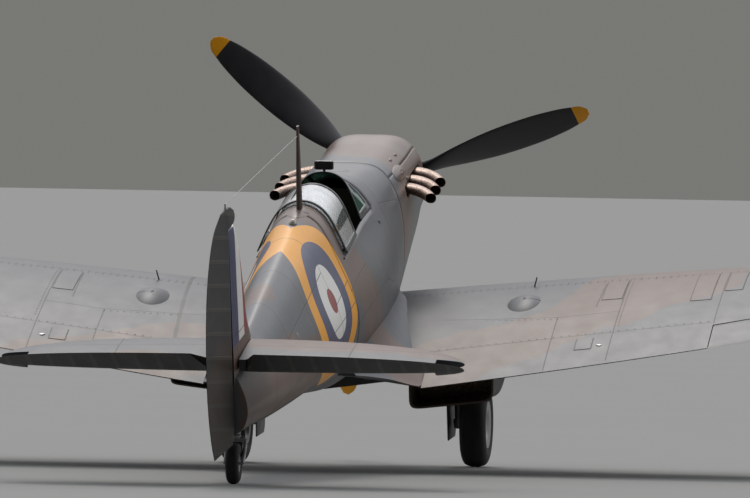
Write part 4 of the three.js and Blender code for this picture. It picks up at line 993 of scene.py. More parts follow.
def root_notch(shrink):
    """The place behind the flap's hinge where the wing stops short of the body."""
    x, station = ROOT_NOTCH
    return box_piece("notch", (shrink - x, x - shrink), (station + shrink, FAR * 2), (-FAR, FAR))


def wing_panel(name, side):
    xs = HALF_SPAN * WING_SPAN_DRAWN * np.sin(np.linspace(0.002, 1, WING_FINE) * math.pi / 2)
    wing = coated(lofted("wing_skin_" + name, [foil_ring(side, x) for x in xs]), painted_wing)
    flap_room = lofted("room", flap_rings(side, FLAP_GAP))
    tools = [body_room(WING_FIT), root_notch(0), *aileron_room(side), flap_room, *wheel_well(side)]
    fitted(carve(wing, *tools), "airframe", "camouflage", "wing_" + name)


def aileron(name, side):
    rings = []
    for x in np.linspace(AILERON_IN, AILERON_OUT, 24):
        share = chord_share(x, aileron_hinge(x))
        half = float(wing_half(x, share))
        turn = np.radians(np.linspace(90, 270, 13))
        nose = wing_point(side, x, share + np.cos(turn) * half, float(bow(share)) + np.sin(turn) * half)
        shares = np.linspace(share, 1, 12)[1:]
        lower = wing_point(side, x, shares, bow(shares) - wing_half(x, shares))
        upper = wing_point(side, x, shares, bow(shares) + wing_half(x, shares))
        rings.append(np.vstack([nose, lower, upper[:-1][::-1]]))
    piece = coated(lofted("aileron_skin_" + name, rings), painted_wing)
    fitted(piece, "aileron_" + name, "camouflage", "aileron_" + name)


def flap(name, side):
    piece = coated(lofted("flap_skin_" + name, flap_rings(side, 0.0, 40)), painted_wing)
    fitted(piece, "flap_" + name, "underside", "flap_" + name)


for name, side in SIDES.items():
    wing_panel(name, side)
    aileron(name, side)
    flap(name, side)

# Two teardrop blisters and two indicator rods stand on the wings' tops, with hatches of thin plate held by
# fasteners. The blisters clear the wheels and a rod shows that its leg is down.
BLISTER_AT = (1.350, 2.850)
BLISTER_HALF = (0.122, 0.210)
BLISTER_HEIGHT = 0.032
BLISTER_ROUND = 0.9
BLISTER_SHEET = 0.003
ROD_AT = (1.370, 2.400)
ROD_TALL = 0.072
ROD_LEAN = 0.022
ROD_ROOT = 0.01
ROD_RADII = (0.006, 0.0055, 0.005)
CAP_AT = (2.005, 3.84)
CAP_RADIUS = 0.022
HATCH_PROUD = 0.0022
HATCH_MARGINS = (0.012, 0.015)
FASTENER_RADIUS = 0.0045
FASTENER_PROUD = 0.0012
# Rows of fasteners as x, station, far x, far station, count
WING_FASTENERS = [
    (0.50, 2.37, 2.58, 2.38, 40), (0.50, 2.42, 2.58, 2.43, 40), (2.62, 2.38, 4.78, 2.42, 38),
    (1.12, 3.19, 1.64, 3.28, 12), (0.72, 3.68, 2.76, 3.575, 36), (2.105, 2.50, 2.105, 3.50, 20),
]


def level_grid(name, rows):
    """A sheet through rows of level places."""
    rows = np.asarray(rows, float)
    return tidy(shaped(name, placed(rows.reshape(-1, 3)), grid_faces(rows.shape[0], rows.shape[1])))


def merge(name, pieces):
    """One object out of several, each keeping its own materials."""
    work = bmesh.new()
    finishes = []
    for piece in pieces:
        start = len(work.faces)
        work.from_mesh(piece.data)
        work.faces.ensure_lookup_table()
        for finish in piece.data.materials:
            if finish not in finishes:
                finishes.append(finish)
        own = list(piece.data.materials)
        for face in work.faces[start:]:
            face.material_index = finishes.index(own[face.material_index])
        bpy.data.objects.remove(piece)
    made = coated(shaped(name, [], []), *finishes)
    work.to_mesh(made.data)
    work.free()
    return tidy(made)


def square_to(way, guide):
    """A level direction at a right angle to two others, one unit long."""
    across = np.cross(way, guide)
    return across / np.linalg.norm(across)


def dome(name, centre, way, radius, proud, sides=10):
    """A low round head on a surface at a level place, facing a way along x or z."""
    way = np.asarray(way, float)
    across = square_to(way, (0, 0, 1) if way[0] else (1, 0, 0))
    turn = circle(sides)[:, None]
    round_way = np.cos(turn) * across + np.sin(turn) * np.cross(way, across)
    rows = [(1.0, -0.5), (1.0, 0.35), (0.6, 0.85)]
    rings = [centre + radius * r * round_way + proud * h * way for r, h in rows]
    return lofted(name, rings)


def wing_blister(name, side):
    rows = []
    for r in np.sin(np.linspace(0.02, 1, 12) * math.pi / 2):
        turn = np.linspace(0, 2 * math.pi, 49)
        lift = BLISTER_HEIGHT * (1 - r**2) ** BLISTER_ROUND - BLISTER_SHEET * r
        xs = BLISTER_AT[0] + BLISTER_HALF[0] * r * np.cos(turn)
        stations = BLISTER_AT[1] + BLISTER_HALF[1] * r * np.sin(turn)
        rows.append([wing_top(side, x, station, lift) for x, station in zip(xs, stations)])
    piece = coated(level_grid("wing_blister_" + name, rows), painted_wing)
    fitted(thicken(piece, BLISTER_SHEET), "airframe", "camouflage")


def fastener_spots():
    """Where the fasteners' heads sit on a wing: along its seams, then down both edges of the hatches."""
    spots = []
    for x, s, far_x, far_s, count in WING_FASTENERS:
        spots += [(between(x, far_x, t), between(s, far_s, t)) for t in np.linspace(0, 1, count)]
    in_x, in_s = HATCH_MARGINS
    for low_x, low_s, high_x, high_s in WING_HATCHES:
        stations = np.linspace(low_s + in_s, high_s - in_s, 5)
        spots += [(x, s) for x in (low_x + in_x, high_x - in_x) for s in stations]
    return spots


def wing_hatches(name, side):
    plates = []
    for low_x, low_s, high_x, high_s in WING_HATCHES:
        xs = np.linspace(low_x, high_x, 7)
        stations = np.linspace(low_s, high_s, 9)
        plate = level_grid("plate", [[wing_top(side, x, s, HATCH_PROUD) for s in stations] for x in xs])
        plates.append(thicken(coated(plate, painted_wing), 2 * HATCH_PROUD))
    cap = dome("cap", wing_top(side, *CAP_AT), (0, 0, 1), CAP_RADIUS, 2 * HATCH_PROUD, 24)
    plates.append(coated(cap, bare_metal))
    for x, s in fastener_spots():
        foot = wing_top(side, x, s, HATCH_PROUD * 0.6)
        plates.append(coated(dome("head", foot, (0, 0, 1), FASTENER_RADIUS, FASTENER_PROUD), painted_wing))
    fitted(merge("wing_hatches_" + name, plates), "airframe", "camouflage")


TUBE_GUIDE = (0.31, 0.11, 0.94)  # a direction that no tube runs along


def tube(name, path, radii, sides=20):
    """A round rod through level places, with a radius at each."""
    path = np.asarray(path, float)
    ways = np.gradient(path, axis=0)
    turn = circle(sides)[:, None]
    rings = []
    for place, way, radius in zip(path, ways, radii):
        across = square_to(way, TUBE_GUIDE)
        rings.append(place + radius * (np.cos(turn) * across + np.sin(turn) * square_to(way, across)))
    return lofted(name, rings)


METAL_CLEAN = (0.40, 0.40, 0.39)
METAL_STAINED = (0.24, 0.235, 0.22)


def metal_finish(shade):
    scratch = shade.noise(60, 5, (1, 0.2, 1))
    stain = shade.noise(9, 5)
    return {
        "Base_Color": stain.choose(METAL_CLEAN, METAL_STAINED),
        "Roughness": 0.26 + scratch * 0.25,
        "Normal": shade.bump(scratch, 0.12, 0.001),
    }


bare_metal = material("bare metal", metal_finish, Metallic=0.9)

for name, side in SIDES.items():
    wing_blister(name, side)
    wing_hatches(name, side)
    foot = wing_top(side, *ROD_AT, -ROD_ROOT)
    head = foot + (side * ROD_LEAN, 0, ROD_TALL + ROD_ROOT)
    rod = tube("indicator_rod_" + name, [foot, between(foot, head, 0.5), head], ROD_RADII, 12)
    fitted(coated(rod, bare_metal), "airframe", "camouflage")

# The root fillets are beaten from soft sheet. They run from the nose of the wing back past its trailing
# edge, hollow in section, and carry the skin of the body out to the wing.
# Rows of a station, the height on the body, how far out and high on the wing, the edge's depth there, and
# the height of the underside at the body
FILLET_ROWS = [
    (1.950, -0.480, 0.500, -0.556, 0.014, -0.600), (2.400, -0.350, 0.575, -0.484, 0.014, -0.498),
    (3.000, -0.300, 0.655, -0.505, 0.014, -0.519), (3.600, -0.270, 0.725, -0.560, 0.014, -0.574),
    (3.795, -0.265, 0.762, -0.586, 0.088, -0.715), (3.940, -0.260, 0.772, -0.604, 0.066, -0.668),
    (4.100, -0.255, 0.775, -0.624, 0.040, -0.616), (4.280, -0.258, 0.768, -0.638, 0.008, -0.578),
    (4.450, -0.262, 0.610, -0.558, 0.010, -0.538), (4.700, -0.262, 0.490, -0.478, 0.010, -0.478),
    (5.000, -0.255, 0.415, -0.400, 0.010, -0.400),
]
FILLET_CORNER = (0.26, 0.78)
FILLET_PITCH = 0.075
FILLET_FIT = 0.0012
FILLET_BED = 0.010
FILLET_DEEP = 0.120
ROOM_SHRINK = 0.0005


def smooth(rows, place):
    """A table's other columns at a place in its first, on a smooth curve through its rows."""
    rows = np.asarray(rows, float)
    known = rows[:, 0]
    slopes = np.gradient(rows[:, 1:], known, axis=0)
    i = int(np.clip(np.searchsorted(known, place, side="right") - 1, 0, len(known) - 2))
    width = known[i + 1] - known[i]
    t = (place - known[i]) / width
    rise = 3 * t**2 - 2 * t**3
    bend = width * ((t**3 - 2 * t**2 + t) * slopes[i] + (t**3 - t**2) * slopes[i + 1])
    return (1 - rise) * rows[i, 1:] + rise * rows[i + 1, 1:] + bend


def largest(piece):
    """Keeps the biggest of a piece's separate bodies."""
    work = bmesh.new()
    work.from_mesh(piece.data)
    left = set(work.verts)
    bodies = []
    while left:
        body, edge = set(), [left.pop()]
        while edge:
            vert = edge.pop()
            body.add(vert)
            for link in vert.link_edges:
                other = link.other_vert(vert)
                if other in left:
                    left.remove(other)
                    edge.append(other)
        bodies.append(body)
    bodies.sort(key=len)
    bmesh.ops.delete(work, geom=[vert for body in bodies[:-1] for vert in body], context="VERTS")
    work.to_mesh(piece.data)
    work.free()
    return tidy(piece)


def wing_room(side, shift):
    rings = [foil_ring(side, x, 24) + (0, 0, shift) for x in np.linspace(0.05, 1.6, 12)]
    return carve(lofted("room", rings), root_notch(ROOM_SHRINK))


def root_fillet(name, side):
    STEPS = 14
    rings = []
    known = [row[0] for row in FILLET_ROWS]
    for station in spread(known[0], known[-1], FILLET_PITCH, *known):
        body_z, wing_x, wing_z, edge, under = smooth(FILLET_ROWS, station)
        body_x = body_curve(station, [turn_at(station, body_z)])[0, 0] - FILLET_BED
        start = np.array([side * body_x, station, body_z])
        end = np.array([side * wing_x, station, wing_z])
        across, down = FILLET_CORNER
        corner = np.array([side * between(body_x, wing_x, across), station, between(body_z, wing_z, down)])
        t = np.linspace(0, 1, STEPS)[:, None]
        curve = (1 - t) ** 2 * start + 2 * t * (1 - t) * corner + t**2 * end
        inner = side * (body_x - FILLET_DEEP)
        back = [end - (0, 0, edge), (inner, station, under), (inner, station, body_z)]
        rings.append(np.vstack([curve, back]))
    tools = [body_room(FILLET_FIT), wing_room(side, HAIR), wing_room(side, -HAIR), *wheel_well(side)]
    fillet = largest(carve(lofted("fillet_skin_" + name, rings), *tools))
    fitted(coated(fillet, painted_wing), "airframe", "camouflage", "fillet_" + name)


for name, side in SIDES.items():
    root_fillet(name, side)

# Under the wings hang two sheet-metal ducts open at both ends: the wide radiator to starboard and the
# narrow oil cooler to port, each with its honeycomb core across the passage.
# Sizes: side, x, width, front, rear, depth, share of the depth at the rear, wall
RADIATOR = (1, 0.935, 0.610, 2.900, 3.790, 0.330, 0.8, 0.014)
OIL_COOLER = (-1, 0.935, 0.330, 2.980, 3.720, 0.260, 0.7, 0.012)
DUCT_DATUM = -0.740
DUCT_ROOF = 0.120
DUCT_MOUTH = 0.74
DUCT_BELLY = 0.26
DUCT_ROUND = 0.2
DUCT_PITCH = 0.05
DUCT_ARC = 33
BORE_PAST = 0.02


def duct_ring(sizes, station, inset):
    side, x, width, front, rear, depth, rear_depth, _ = sizes
    share = min(max((station - front) / (rear - front), 0), 1)
    belly = DUCT_BELLY * math.sin(math.pi * min(1, share * 1.25))
    drop = depth * (DUCT_MOUTH + belly + (rear_depth - DUCT_MOUTH) * share**2) - inset
    half = width / 2 - inset
    turn = np.linspace(0, math.pi, DUCT_ARC)
    wide = np.sign(np.cos(turn)) * np.abs(np.cos(turn)) ** DUCT_ROUND
    px = side * x + half * wide
    low = DUCT_DATUM + np.abs(px) * DIHEDRAL - drop * np.sin(turn).clip(0) ** DUCT_ROUND
    ring = level_rows(px, station, low)
    roof = [(px[i], station, DUCT_DATUM + abs(px[i]) * DIHEDRAL + DUCT_ROOF) for i in (-1, 0)]
    return np.vstack([ring, roof])


def duct(name, sizes):
    side, _, _, front, rear, _, _, wall = sizes
    stations = spread(front, rear, DUCT_PITCH)
    outer = lofted(name + "_duct", [duct_ring(sizes, s, 0) for s in stations])
    through = (front - BORE_PAST, *stations, rear + BORE_PAST)
    bore = lofted("bore", [duct_ring(sizes, s, wall) for s in through])
    outer = largest(carve(outer, bore, wing_room(side, -HAIR)))
    fitted(coated(outer, painted_wing), "airframe", "underside", name + "_housing")


CORE_BRASS = (0.30, 0.22, 0.12)
CORE_CELL_SHADE = (0.015, 0.013, 0.012)


def honeycomb(shade):
    cells = shade.node("TexVoronoi", {"feature": "DISTANCE_TO_EDGE"}, {"Vector": shade.spot(), "Scale": 110})
    wall = cells.step(0.12, 0.1)
    # The cells' hollows are near black as painted shade; the walls between them are brass
    return {"Base_Color": wall.choose(CORE_BRASS, CORE_CELL_SHADE), "Normal": shade.bump(wall, 1.0, -0.004)}


core_metal = material("honeycomb core", honeycomb, Metallic=0.6, Roughness=0.5)


def finish_nodes(finish, *nodes):
    """Gives CAD nodes that stay as they are a finish of their own."""
    for node in nodes:
        frame["nodes"][node].material_slots[0].material = finish


duct("radiator", RADIATOR)
duct("oil_cooler", OIL_COOLER)
finish_nodes(core_metal, "radiator_core", "oil_cooler_core")

# The air intake is a short scoop under the cowling, its mouth forward. It is welded from thin sheet, hollow
# for most of its length, and screwed to the lower panel.
INTAKE_ROWS = [(1.440, 0.070), (1.560, 0.128), (1.820, 0.142), (2.080, 0.120), (2.340, 0.060)]
INTAKE_HALF = 0.115
INTAKE_WALL = 0.006
INTAKE_END = 2.100
INTAKE_PITCH = 0.06
INTAKE_ROOF = 0.07
INTAKE_ARC = 25


def intake_ring(station, inset, shift=0.0):
    floor_z = body_values(station)[-1]
    depth = smooth(INTAKE_ROWS, station)[0]
    turn = np.linspace(0, math.pi, INTAKE_ARC)
    arc = level_rows(np.cos(turn) * (INTAKE_HALF - inset), station + shift,
                     floor_z - (depth - inset) * np.sin(turn))
    roof = [(x, station + shift, floor_z + INTAKE_ROOF) for x in (inset - INTAKE_HALF, INTAKE_HALF - inset)]
    return np.vstack([arc, roof])


intake_mouth, intake_rear = INTAKE_ROWS[0][0], INTAKE_ROWS[-1][0]
scoop = lofted("intake_scoop", [intake_ring(s, 0) for s in spread(intake_mouth, intake_rear, INTAKE_PITCH)])
throat = [intake_ring(intake_mouth, INTAKE_WALL, -BORE_PAST)]
throat += [intake_ring(s, INTAKE_WALL) for s in spread(intake_mouth, INTAKE_END, INTAKE_PITCH)]
scoop = largest(carve(scoop, lofted("throat", throat), body_room(HAIR)))
fitted(coated(scoop, painted_wing), "airframe", "camouflage", "air_intake")

# The engine fills the cowling: a cast block with its reduction gear, in black stoving enamel. The
# instrument panel in the cockpit has the same finish.
ENAMEL_RUBBED = (0.05, 0.048, 0.045)


def enamel(shade):
    rub = shade.noise(12, 6, roughness=0.7)
    return {
        "Base_Color": rub.step(0.68, 0.08).choose(BLACK, ENAMEL_RUBBED),
        "Roughness": 0.28 + rub * 0.22,
        "Normal": shade.bump(shade.noise(90), 0.06, 0.001),
    }


black_enamel = material("black enamel", enamel, Coat_Weight=0.3)
finish_nodes(black_enamel, "engine_block", "instrument_panel")

# The exhausts are three ejector stubs a side, of thin heat-stained steel, welded to one flange. Two rows of
# bolts hold the flange to the engine through the slot in the cowling.
EXHAUST_Z = 0.252
EXHAUST_FRONT = 1.160
EXHAUST_REAR = 1.985
STUB_FIRST = 0.020
STUB_ROWS = [  # distance out, run aft, drop, thickness, height
    (0.300, 0.000, 0.000, 0.140, 0.058), (0.372, 0.015, -0.002, 0.150, 0.064),
    (0.440, 0.070, -0.006, 0.130, 0.070), (0.515, 0.165, -0.012, 0.098, 0.074),
    (0.572, 0.285, -0.018, 0.080, 0.074),
]
# Where a stub begins and ends its bend aft, and the degrees that it faces aft there
STUB_TURN = (0.300, 0.560, 86, 8)
STUB_ROUND = 0.8
STUB_WALL = 0.0028
FLANGE_X = (0.2904, 0.303)
FLANGE_HALF = 0.03
FLANGE_AHEAD = 0.060
BOLTS = 13
BOLT_INSET = 0.015
BOLT_LIFT = 0.022
BOLT_RADIUS = 0.006
BOLT_PROUD = 0.005
STEEL_BLUED = (0.30, 0.205, 0.165)
STEEL_PALE = (0.42, 0.34, 0.29)
STEEL_SCALE = (0.13, 0.085, 0.06)


def burnt(shade):
    heat = shade.noise(11, 5, (1, 0.5, 1))
    scale = shade.noise(70, 5)
    hot = heat.choose(STEEL_BLUED, STEEL_PALE)
    return {
        "Base_Color": scale.step(0.58, 0.25).choose(hot, STEEL_SCALE),
        "Roughness": 0.34 + scale * 0.3,
        "Normal": shade.bump(scale, 0.2, 0.001),
    }


burnt_steel = material("burnt steel", burnt, Metallic=0.8)


def stub_ring(side, start, row, shrink):
    """A section of a stub across its run, narrower by the wall for its bore."""
    x, run, drop, thick, tall = row
    start_x, end_x, square, aft = STUB_TURN
    share = min(max((x - start_x) / (end_x - start_x), 0), 1)
    turn_out = side * math.radians(between(square, aft, share * share * (3 - 2 * share)))
    turn = circle(28)
    a = np.sign(np.cos(turn)) * np.abs(np.cos(turn)) ** STUB_ROUND * (thick / 2 - shrink)
    b = np.sin(turn) * (tall / 2 - shrink)
    return level_rows(side * x + a * math.cos(turn_out), start + run - a * math.sin(turn_out),
                      EXHAUST_Z + drop + b)


def listed(rows):
    """Numbers a table's rows, so that smooth() can run through them in order."""
    return [(index, *row) for index, row in enumerate(rows)]


def exhaust(name, side):
    pitch = (EXHAUST_REAR - EXHAUST_FRONT) / 3
    rows = [smooth(listed(STUB_ROWS), t) for t in np.linspace(0, len(STUB_ROWS) - 1, 17)]
    across = sorted(side * x for x in FLANGE_X)
    along = (EXHAUST_FRONT - FLANGE_AHEAD, EXHAUST_REAR - FLANGE_AHEAD)
    pieces = [box_piece("flange", across, along, (EXHAUST_Z - FLANGE_HALF, EXHAUST_Z + FLANGE_HALF))]
    for index in range(3):
        start = EXHAUST_FRONT + STUB_FIRST + pitch * index
        outside = [stub_ring(side, start, row, 0) for row in rows]
        inside = [stub_ring(side, start, row, STUB_WALL) for row in rows[:5:-1]]
        pieces.append(lofted("stub", outside + inside))
    for place in np.linspace(along[0] + BOLT_INSET, along[1] - BOLT_INSET, BOLTS):
        for lift in (-BOLT_LIFT, BOLT_LIFT):
            spot = np.array([side * FLANGE_X[1], place, EXHAUST_Z + lift])
            pieces.append(dome("bolt", spot, (side, 0, 0), BOLT_RADIUS, BOLT_PROUD, 6))
    stubs = merge("exhaust_stubs_" + name, [coated(piece, burnt_steel) for piece in pieces])
    fitted(stubs, "airframe", "exhaust", "exhaust_" + name)


for name, side in SIDES.items():
    exhaust(name, side)

# The windscreen is an armoured pane between curved ones in a steel frame, the sliding hood is one sheet of
# blown acrylic in a light frame, and a fixed glazing lies behind it. The hood stands open over that one.
ARCH = 3.550
GLAZING_FRONT = 4.130
HOOD_FRONT = 4.107
HOOD_END = 4.687
HOOD_OUT = 0.025
FRAME_THICK = 0.010
PANE_THICK = 0.005
PANE_BED = 0.003
PANE_LOW = SILL_Z + 0.003
GLAZING_BED = 0.004
SCREEN_PITCH = 0.03
GLAZING_PITCH = 0.04
# The frames' bars across the body, as ranges of the glass between them
SCREEN_GLASS = (DECK_END + 0.060, ARCH - 0.030)
REAR_GLASS = (GLAZING_FRONT + 0.045, GLAZING_END - 0.045)
HOOD_GLASS = (HOOD_FRONT + 0.035, HOOD_END - 0.030)
# The bars along the body: x of the armoured pane's two posts, heights, and half the rear one's spine
SCREEN_POSTS = (0.108, 0.132)
SCREEN_BAR_Z = 0.450
REAR_SPINE = 0.020
REAR_BAR_Z = 0.440
HOOD_BAR_Z = SILL_Z + 0.040
# How many columns of a strip lie between one bar and the next, from the top down
SCREEN_COLUMNS = (10, 2, 12, 4)
REAR_COLUMNS = (2, 20, 4)
HOOD_COLUMNS = (22, 4)


def turn_at_x(station, x):
    turns = np.linspace(0, 0.25, 300)
    return float(np.interp(x, body_curve(station, turns)[:, 0], turns))


def strip(name, stations, out, marks, counts, keep):
    """A curved strip over the cockpit; marks gives turns to starboard, from the top down to the sill."""

    def turns(station):
        half = stepped([0, *marks(station), turn_at(station, PANE_LOW)], counts)
        return np.concatenate([-half[:0:-1], half])

    def kept(row, column):
        from_top = column - middle if column >= middle else middle - 1 - column
        return keep is None or keep((stations[row] + stations[row + 1]) / 2, from_top)

    rows = [body_ring(station, turns(station), out) for station in stations]
    middle = sum(counts)
    return tidy(shaped(name, placed(np.vstack(rows)), grid_faces(len(stations), 2 * middle + 1, keep=kept)))


def glass_finish(shade):
    return {"Roughness": 0.015 + shade.noise(9, 4).step(0.62, 0.3) * 0.05}


CLEAR = {"IOR": 1.49, "Specular_IOR_Level": 0.9, "Coat_Weight": 0.6}
CLEAR_TINT = {"Base_Color": (0.93, 0.95, 0.94), "Transmission_Weight": 0.88}
ARMOUR_TINT = {"Base_Color": (0.16, 0.36, 0.27), "Transmission_Weight": 0.55}
acrylic = material("clear acrylic", glass_finish, **CLEAR_TINT, **CLEAR)
armoured = material("armoured glass", glass_finish, **ARMOUR_TINT, **CLEAR)


def glazing(name, stations, out, marks, counts, glass, panes, pane, body="airframe"):
    """A frame and its glass; panes are the parts between bars, counted from the top, that are glass."""
    ends = np.cumsum((0, *counts))

    def barred(station, column):
        part = int(np.searchsorted(ends, column, side="right")) - 1
        return not (glass[0] < station < glass[1] and part in panes)

    bars = coated(strip(name + "_framing", stations, out, marks, counts, barred), black_enamel)
    fitted(thicken(bars, FRAME_THICK), body, "black_paint", name + "_frame")
    sheet = coated(strip(name + "_pane", stations, out - PANE_BED, marks, counts, None), pane)
    fitted(thicken(sheet, PANE_THICK), body, "canopy_glass", name + "_glass")


def screen_marks(station):
    return [*(turn_at_x(station, x) for x in SCREEN_POSTS), turn_at(station, SCREEN_BAR_Z)]


def rear_marks(station):
    return [turn_at_x(station, REAR_SPINE), turn_at(station, REAR_BAR_Z)]


def hood_marks(station):
    return [turn_at(station, HOOD_BAR_Z)]


glazing("windscreen", spread(DECK_END + GLAZING_BED, ARCH, SCREEN_PITCH, *SCREEN_GLASS), 0.0, screen_marks,
        SCREEN_COLUMNS, SCREEN_GLASS, (0, 2), armoured)
rear_end = GLAZING_END - GLAZING_BED / 2
glazing("rear_glazing", spread(GLAZING_FRONT, rear_end, GLAZING_PITCH, *REAR_GLASS), 0.0, rear_marks,
        REAR_COLUMNS, REAR_GLASS, (1,), acrylic)
glazing("hood", spread(HOOD_FRONT, HOOD_END, GLAZING_PITCH, *HOOD_GLASS), HOOD_OUT, hood_marks,
        HOOD_COLUMNS, HOOD_GLASS, (0,), acrylic, "hood")

# The hood rides on two drawn rails beside the sill. They are steel rods, screwed to the shell behind the
# door.
RAIL_STATIONS = (4.075, 4.760)
RAIL_Z = 0.384
RAIL_OUT = 0.004
RAIL_RADIUS = 0.006
for name, side in SIDES.items():
    stations = np.linspace(*RAIL_STATIONS, 16)
    path = [body_ring(s, [turn_at(s, RAIL_Z)], RAIL_OUT)[0] * (side, 1, 1) for s in stations]
    rail = tube("hood_rail_" + name, path, [RAIL_RADIUS] * len(path), 12)
    fitted(coated(rail, black_enamel), "airframe", "black_paint")

# The mirror is a flat glass in a black pressed case. It stands on a post that is screwed to the
# windscreen's arch.
MIRROR_AT = (0, 3.526, 0.789)
MIRROR_HALF = (0.070, 0.033)
MIRROR_SQUARE = 0.28
MIRROR_ROWS = [  # share of the full size, distance ahead of the rim
    (0.80, 0.004), (0.80, -0.002), (0.86, -0.002), (0.90, 0), (0.96, 0), (1.0, 0.006), (0.98, 0.02),
    (0.90, 0.036), (0.7, 0.047), (0.3, 0.051),
]
MIRROR_POST = [(0, 3.505, 0.743), (0, 3.505, 0.755), (0, 3.505, 0.775)]
MIRROR_POST_RADII = (0.010, 0.009, 0.009)


def mirror_ring(scale, ahead):
    turn = circle(40)
    x, z = (np.sign(w) * np.abs(w) ** MIRROR_SQUARE * half * scale for w, half in
            zip((np.cos(turn), np.sin(turn)), MIRROR_HALF))
    return level_rows(x, -ahead, z) + MIRROR_AT


case = lofted("case", [mirror_ring(scale, ahead) for scale, ahead in MIRROR_ROWS])
post = tube("post", MIRROR_POST, MIRROR_POST_RADII)
mirror = merge("mirror_case", [coated(piece, black_enamel) for piece in (case, post)])
fitted(mirror, "airframe", "black_paint", "mirror")

# The cockpit holds a pressed bucket seat on two tubes, a black panel of dials and a column with a spade
# grip, all bolted to the frames of the shell.
SEAT_HALF = 0.188
SEAT_FRONT = 3.962
SEAT_BACK = 4.300
SEAT_FLOOR = -0.205
SEAT_TOP = 0.328
SEAT_SIDE = 0.135
SEAT_SHEET = 0.004
SEAT_PATH = [  # station, height from the front of the pan up the back
    (SEAT_FRONT, SEAT_FLOOR + 0.012), (SEAT_FRONT + 0.02, SEAT_FLOOR + 0.002), (4.10, SEAT_FLOOR),
    (4.24, SEAT_FLOOR + 0.004), (4.285, SEAT_FLOOR + 0.05), (SEAT_BACK, 0.0), (SEAT_BACK, 0.2),
    (SEAT_BACK, 0.30), (SEAT_BACK + 0.006, SEAT_TOP),
]
SEAT_POST = [(4.295, 0.1), (4.290, -0.2), (4.285, -0.50)]
SEAT_POST_X = 0.05
SEAT_POST_RADIUS = 0.012


def seat_sheet():
    """The bucket, with its sides turned up, lowest at the top of the back."""
    rows = []
    for t in np.linspace(0, len(SEAT_PATH) - 1, 34):
        station, z = smooth(listed(SEAT_PATH), t)
        share = min(max((z - SEAT_FLOOR) / (SEAT_TOP - SEAT_FLOOR), 0), 1)
        wall = SEAT_SIDE * (1 - share) ** 1.2 * min(1, (station - SEAT_FRONT + 0.03) / 0.2)
        half = SEAT_HALF * (1 - 0.18 * share**3)
        across = [(u * half, 0) for u in np.linspace(-0.94, 0.94, 11)]
        sides = [(half, wall * w + SEAT_SHEET) for w in np.linspace(0.15, 1, 5)]
        whole = [(-x, w) for x, w in sides[::-1]] + across + sides
        ahead = min(max(share * 2, 0), 1)
        rows.append([(x, station - w * ahead, z + w * (1 - ahead)) for x, w in whole])
    return thicken(level_grid("bucket", rows), SEAT_SHEET)


seat_parts = [seat_sheet()]
for x in (-SEAT_POST_X, SEAT_POST_X):
    seat_parts.append(tube("post", [(x, *spot) for spot in SEAT_POST], [SEAT_POST_RADIUS] * 3, 14))
seat = merge("bucket_seat", [coated(piece, cockpit_green) for piece in seat_parts])
fitted(seat, "airframe", "cockpit_green", "pilot_seat")


DIAL_BLACK = (0.010, 0.010, 0.011)
DIAL_GREY = (0.02, 0.02, 0.021)
NEEDLE_WHITE = (0.7, 0.7, 0.66)
NEEDLE_AGED = (0.6, 0.6, 0.56)


def dial_face(shade):
    return {"Base_Color": shade.noise(40).choose(DIAL_BLACK, DIAL_GREY)}


def needle_finish(shade):
    return {"Base_Color": shade.noise(50).choose(NEEDLE_WHITE, NEEDLE_AGED)}


def turned(name, profile, centre, axis, sides=48, loop=False):
    """A shape turned on a lathe, from rows of distance along its axis and radius."""
    axis = np.asarray(axis, float)
    across = square_to(axis, (1, 0, 0) if axis[2] else (0, 0, 1))
    turn = circle(sides)[:, None]
    round_way = np.cos(turn) * across + np.sin(turn) * np.cross(axis, across)
    rings = [np.asarray(centre, float) + along * axis + radius * round_way for along, radius in profile]
    if loop:
        rings.append(rings[0])
    return lofted(name, rings, ends=not loop)


dial_glass = material("dial face", dial_face, Roughness=0.12, Coat_Weight=1.0)
needle_white = material("needle white", needle_finish)
PANEL_FACE = 3.1405
BEZEL = 0.006
BEZEL_PROUD = 0.009
GLASS_PROUD = 0.004
NEEDLE_PROUD = 0.0052
NEEDLE_REACH = (-0.2, 0.3, 0.85)
NEEDLE_RADII = (0.0022, 0.0018, 0.0006)
TICK_PROUD = 0.0046
TICK_REACH = (0.78, 0.93)
TICK_RADIUS = 0.0011
TICK_TURN = 30
DIALS = [  # x, height, radius, the needle's turn in degrees
    (-0.10, 0.33, 0.040, 40), (0.0, 0.33, 0.040, -75), (0.10, 0.33, 0.040, 130), (-0.10, 0.22, 0.040, 200),
    (0.0, 0.22, 0.040, 10), (0.10, 0.22, 0.040, -30), (0.23, 0.36, 0.034, 60), (0.23, 0.27, 0.034, -140),
    (0.23, 0.18, 0.034, 100), (0.32, 0.29, 0.026, 20), (0.32, 0.21, 0.026, -60), (-0.23, 0.34, 0.034, 170),
    (-0.23, 0.24, 0.034, 80), (-0.32, 0.28, 0.026, -20), (-0.32, 0.20, 0.026, 140), (0.0, 0.10, 0.050, 0),
]


def clock_way(degrees):
    """The direction on the panel's face at a turn from its top."""
    return np.array([math.sin(math.radians(degrees)), 0, math.cos(math.radians(degrees))])


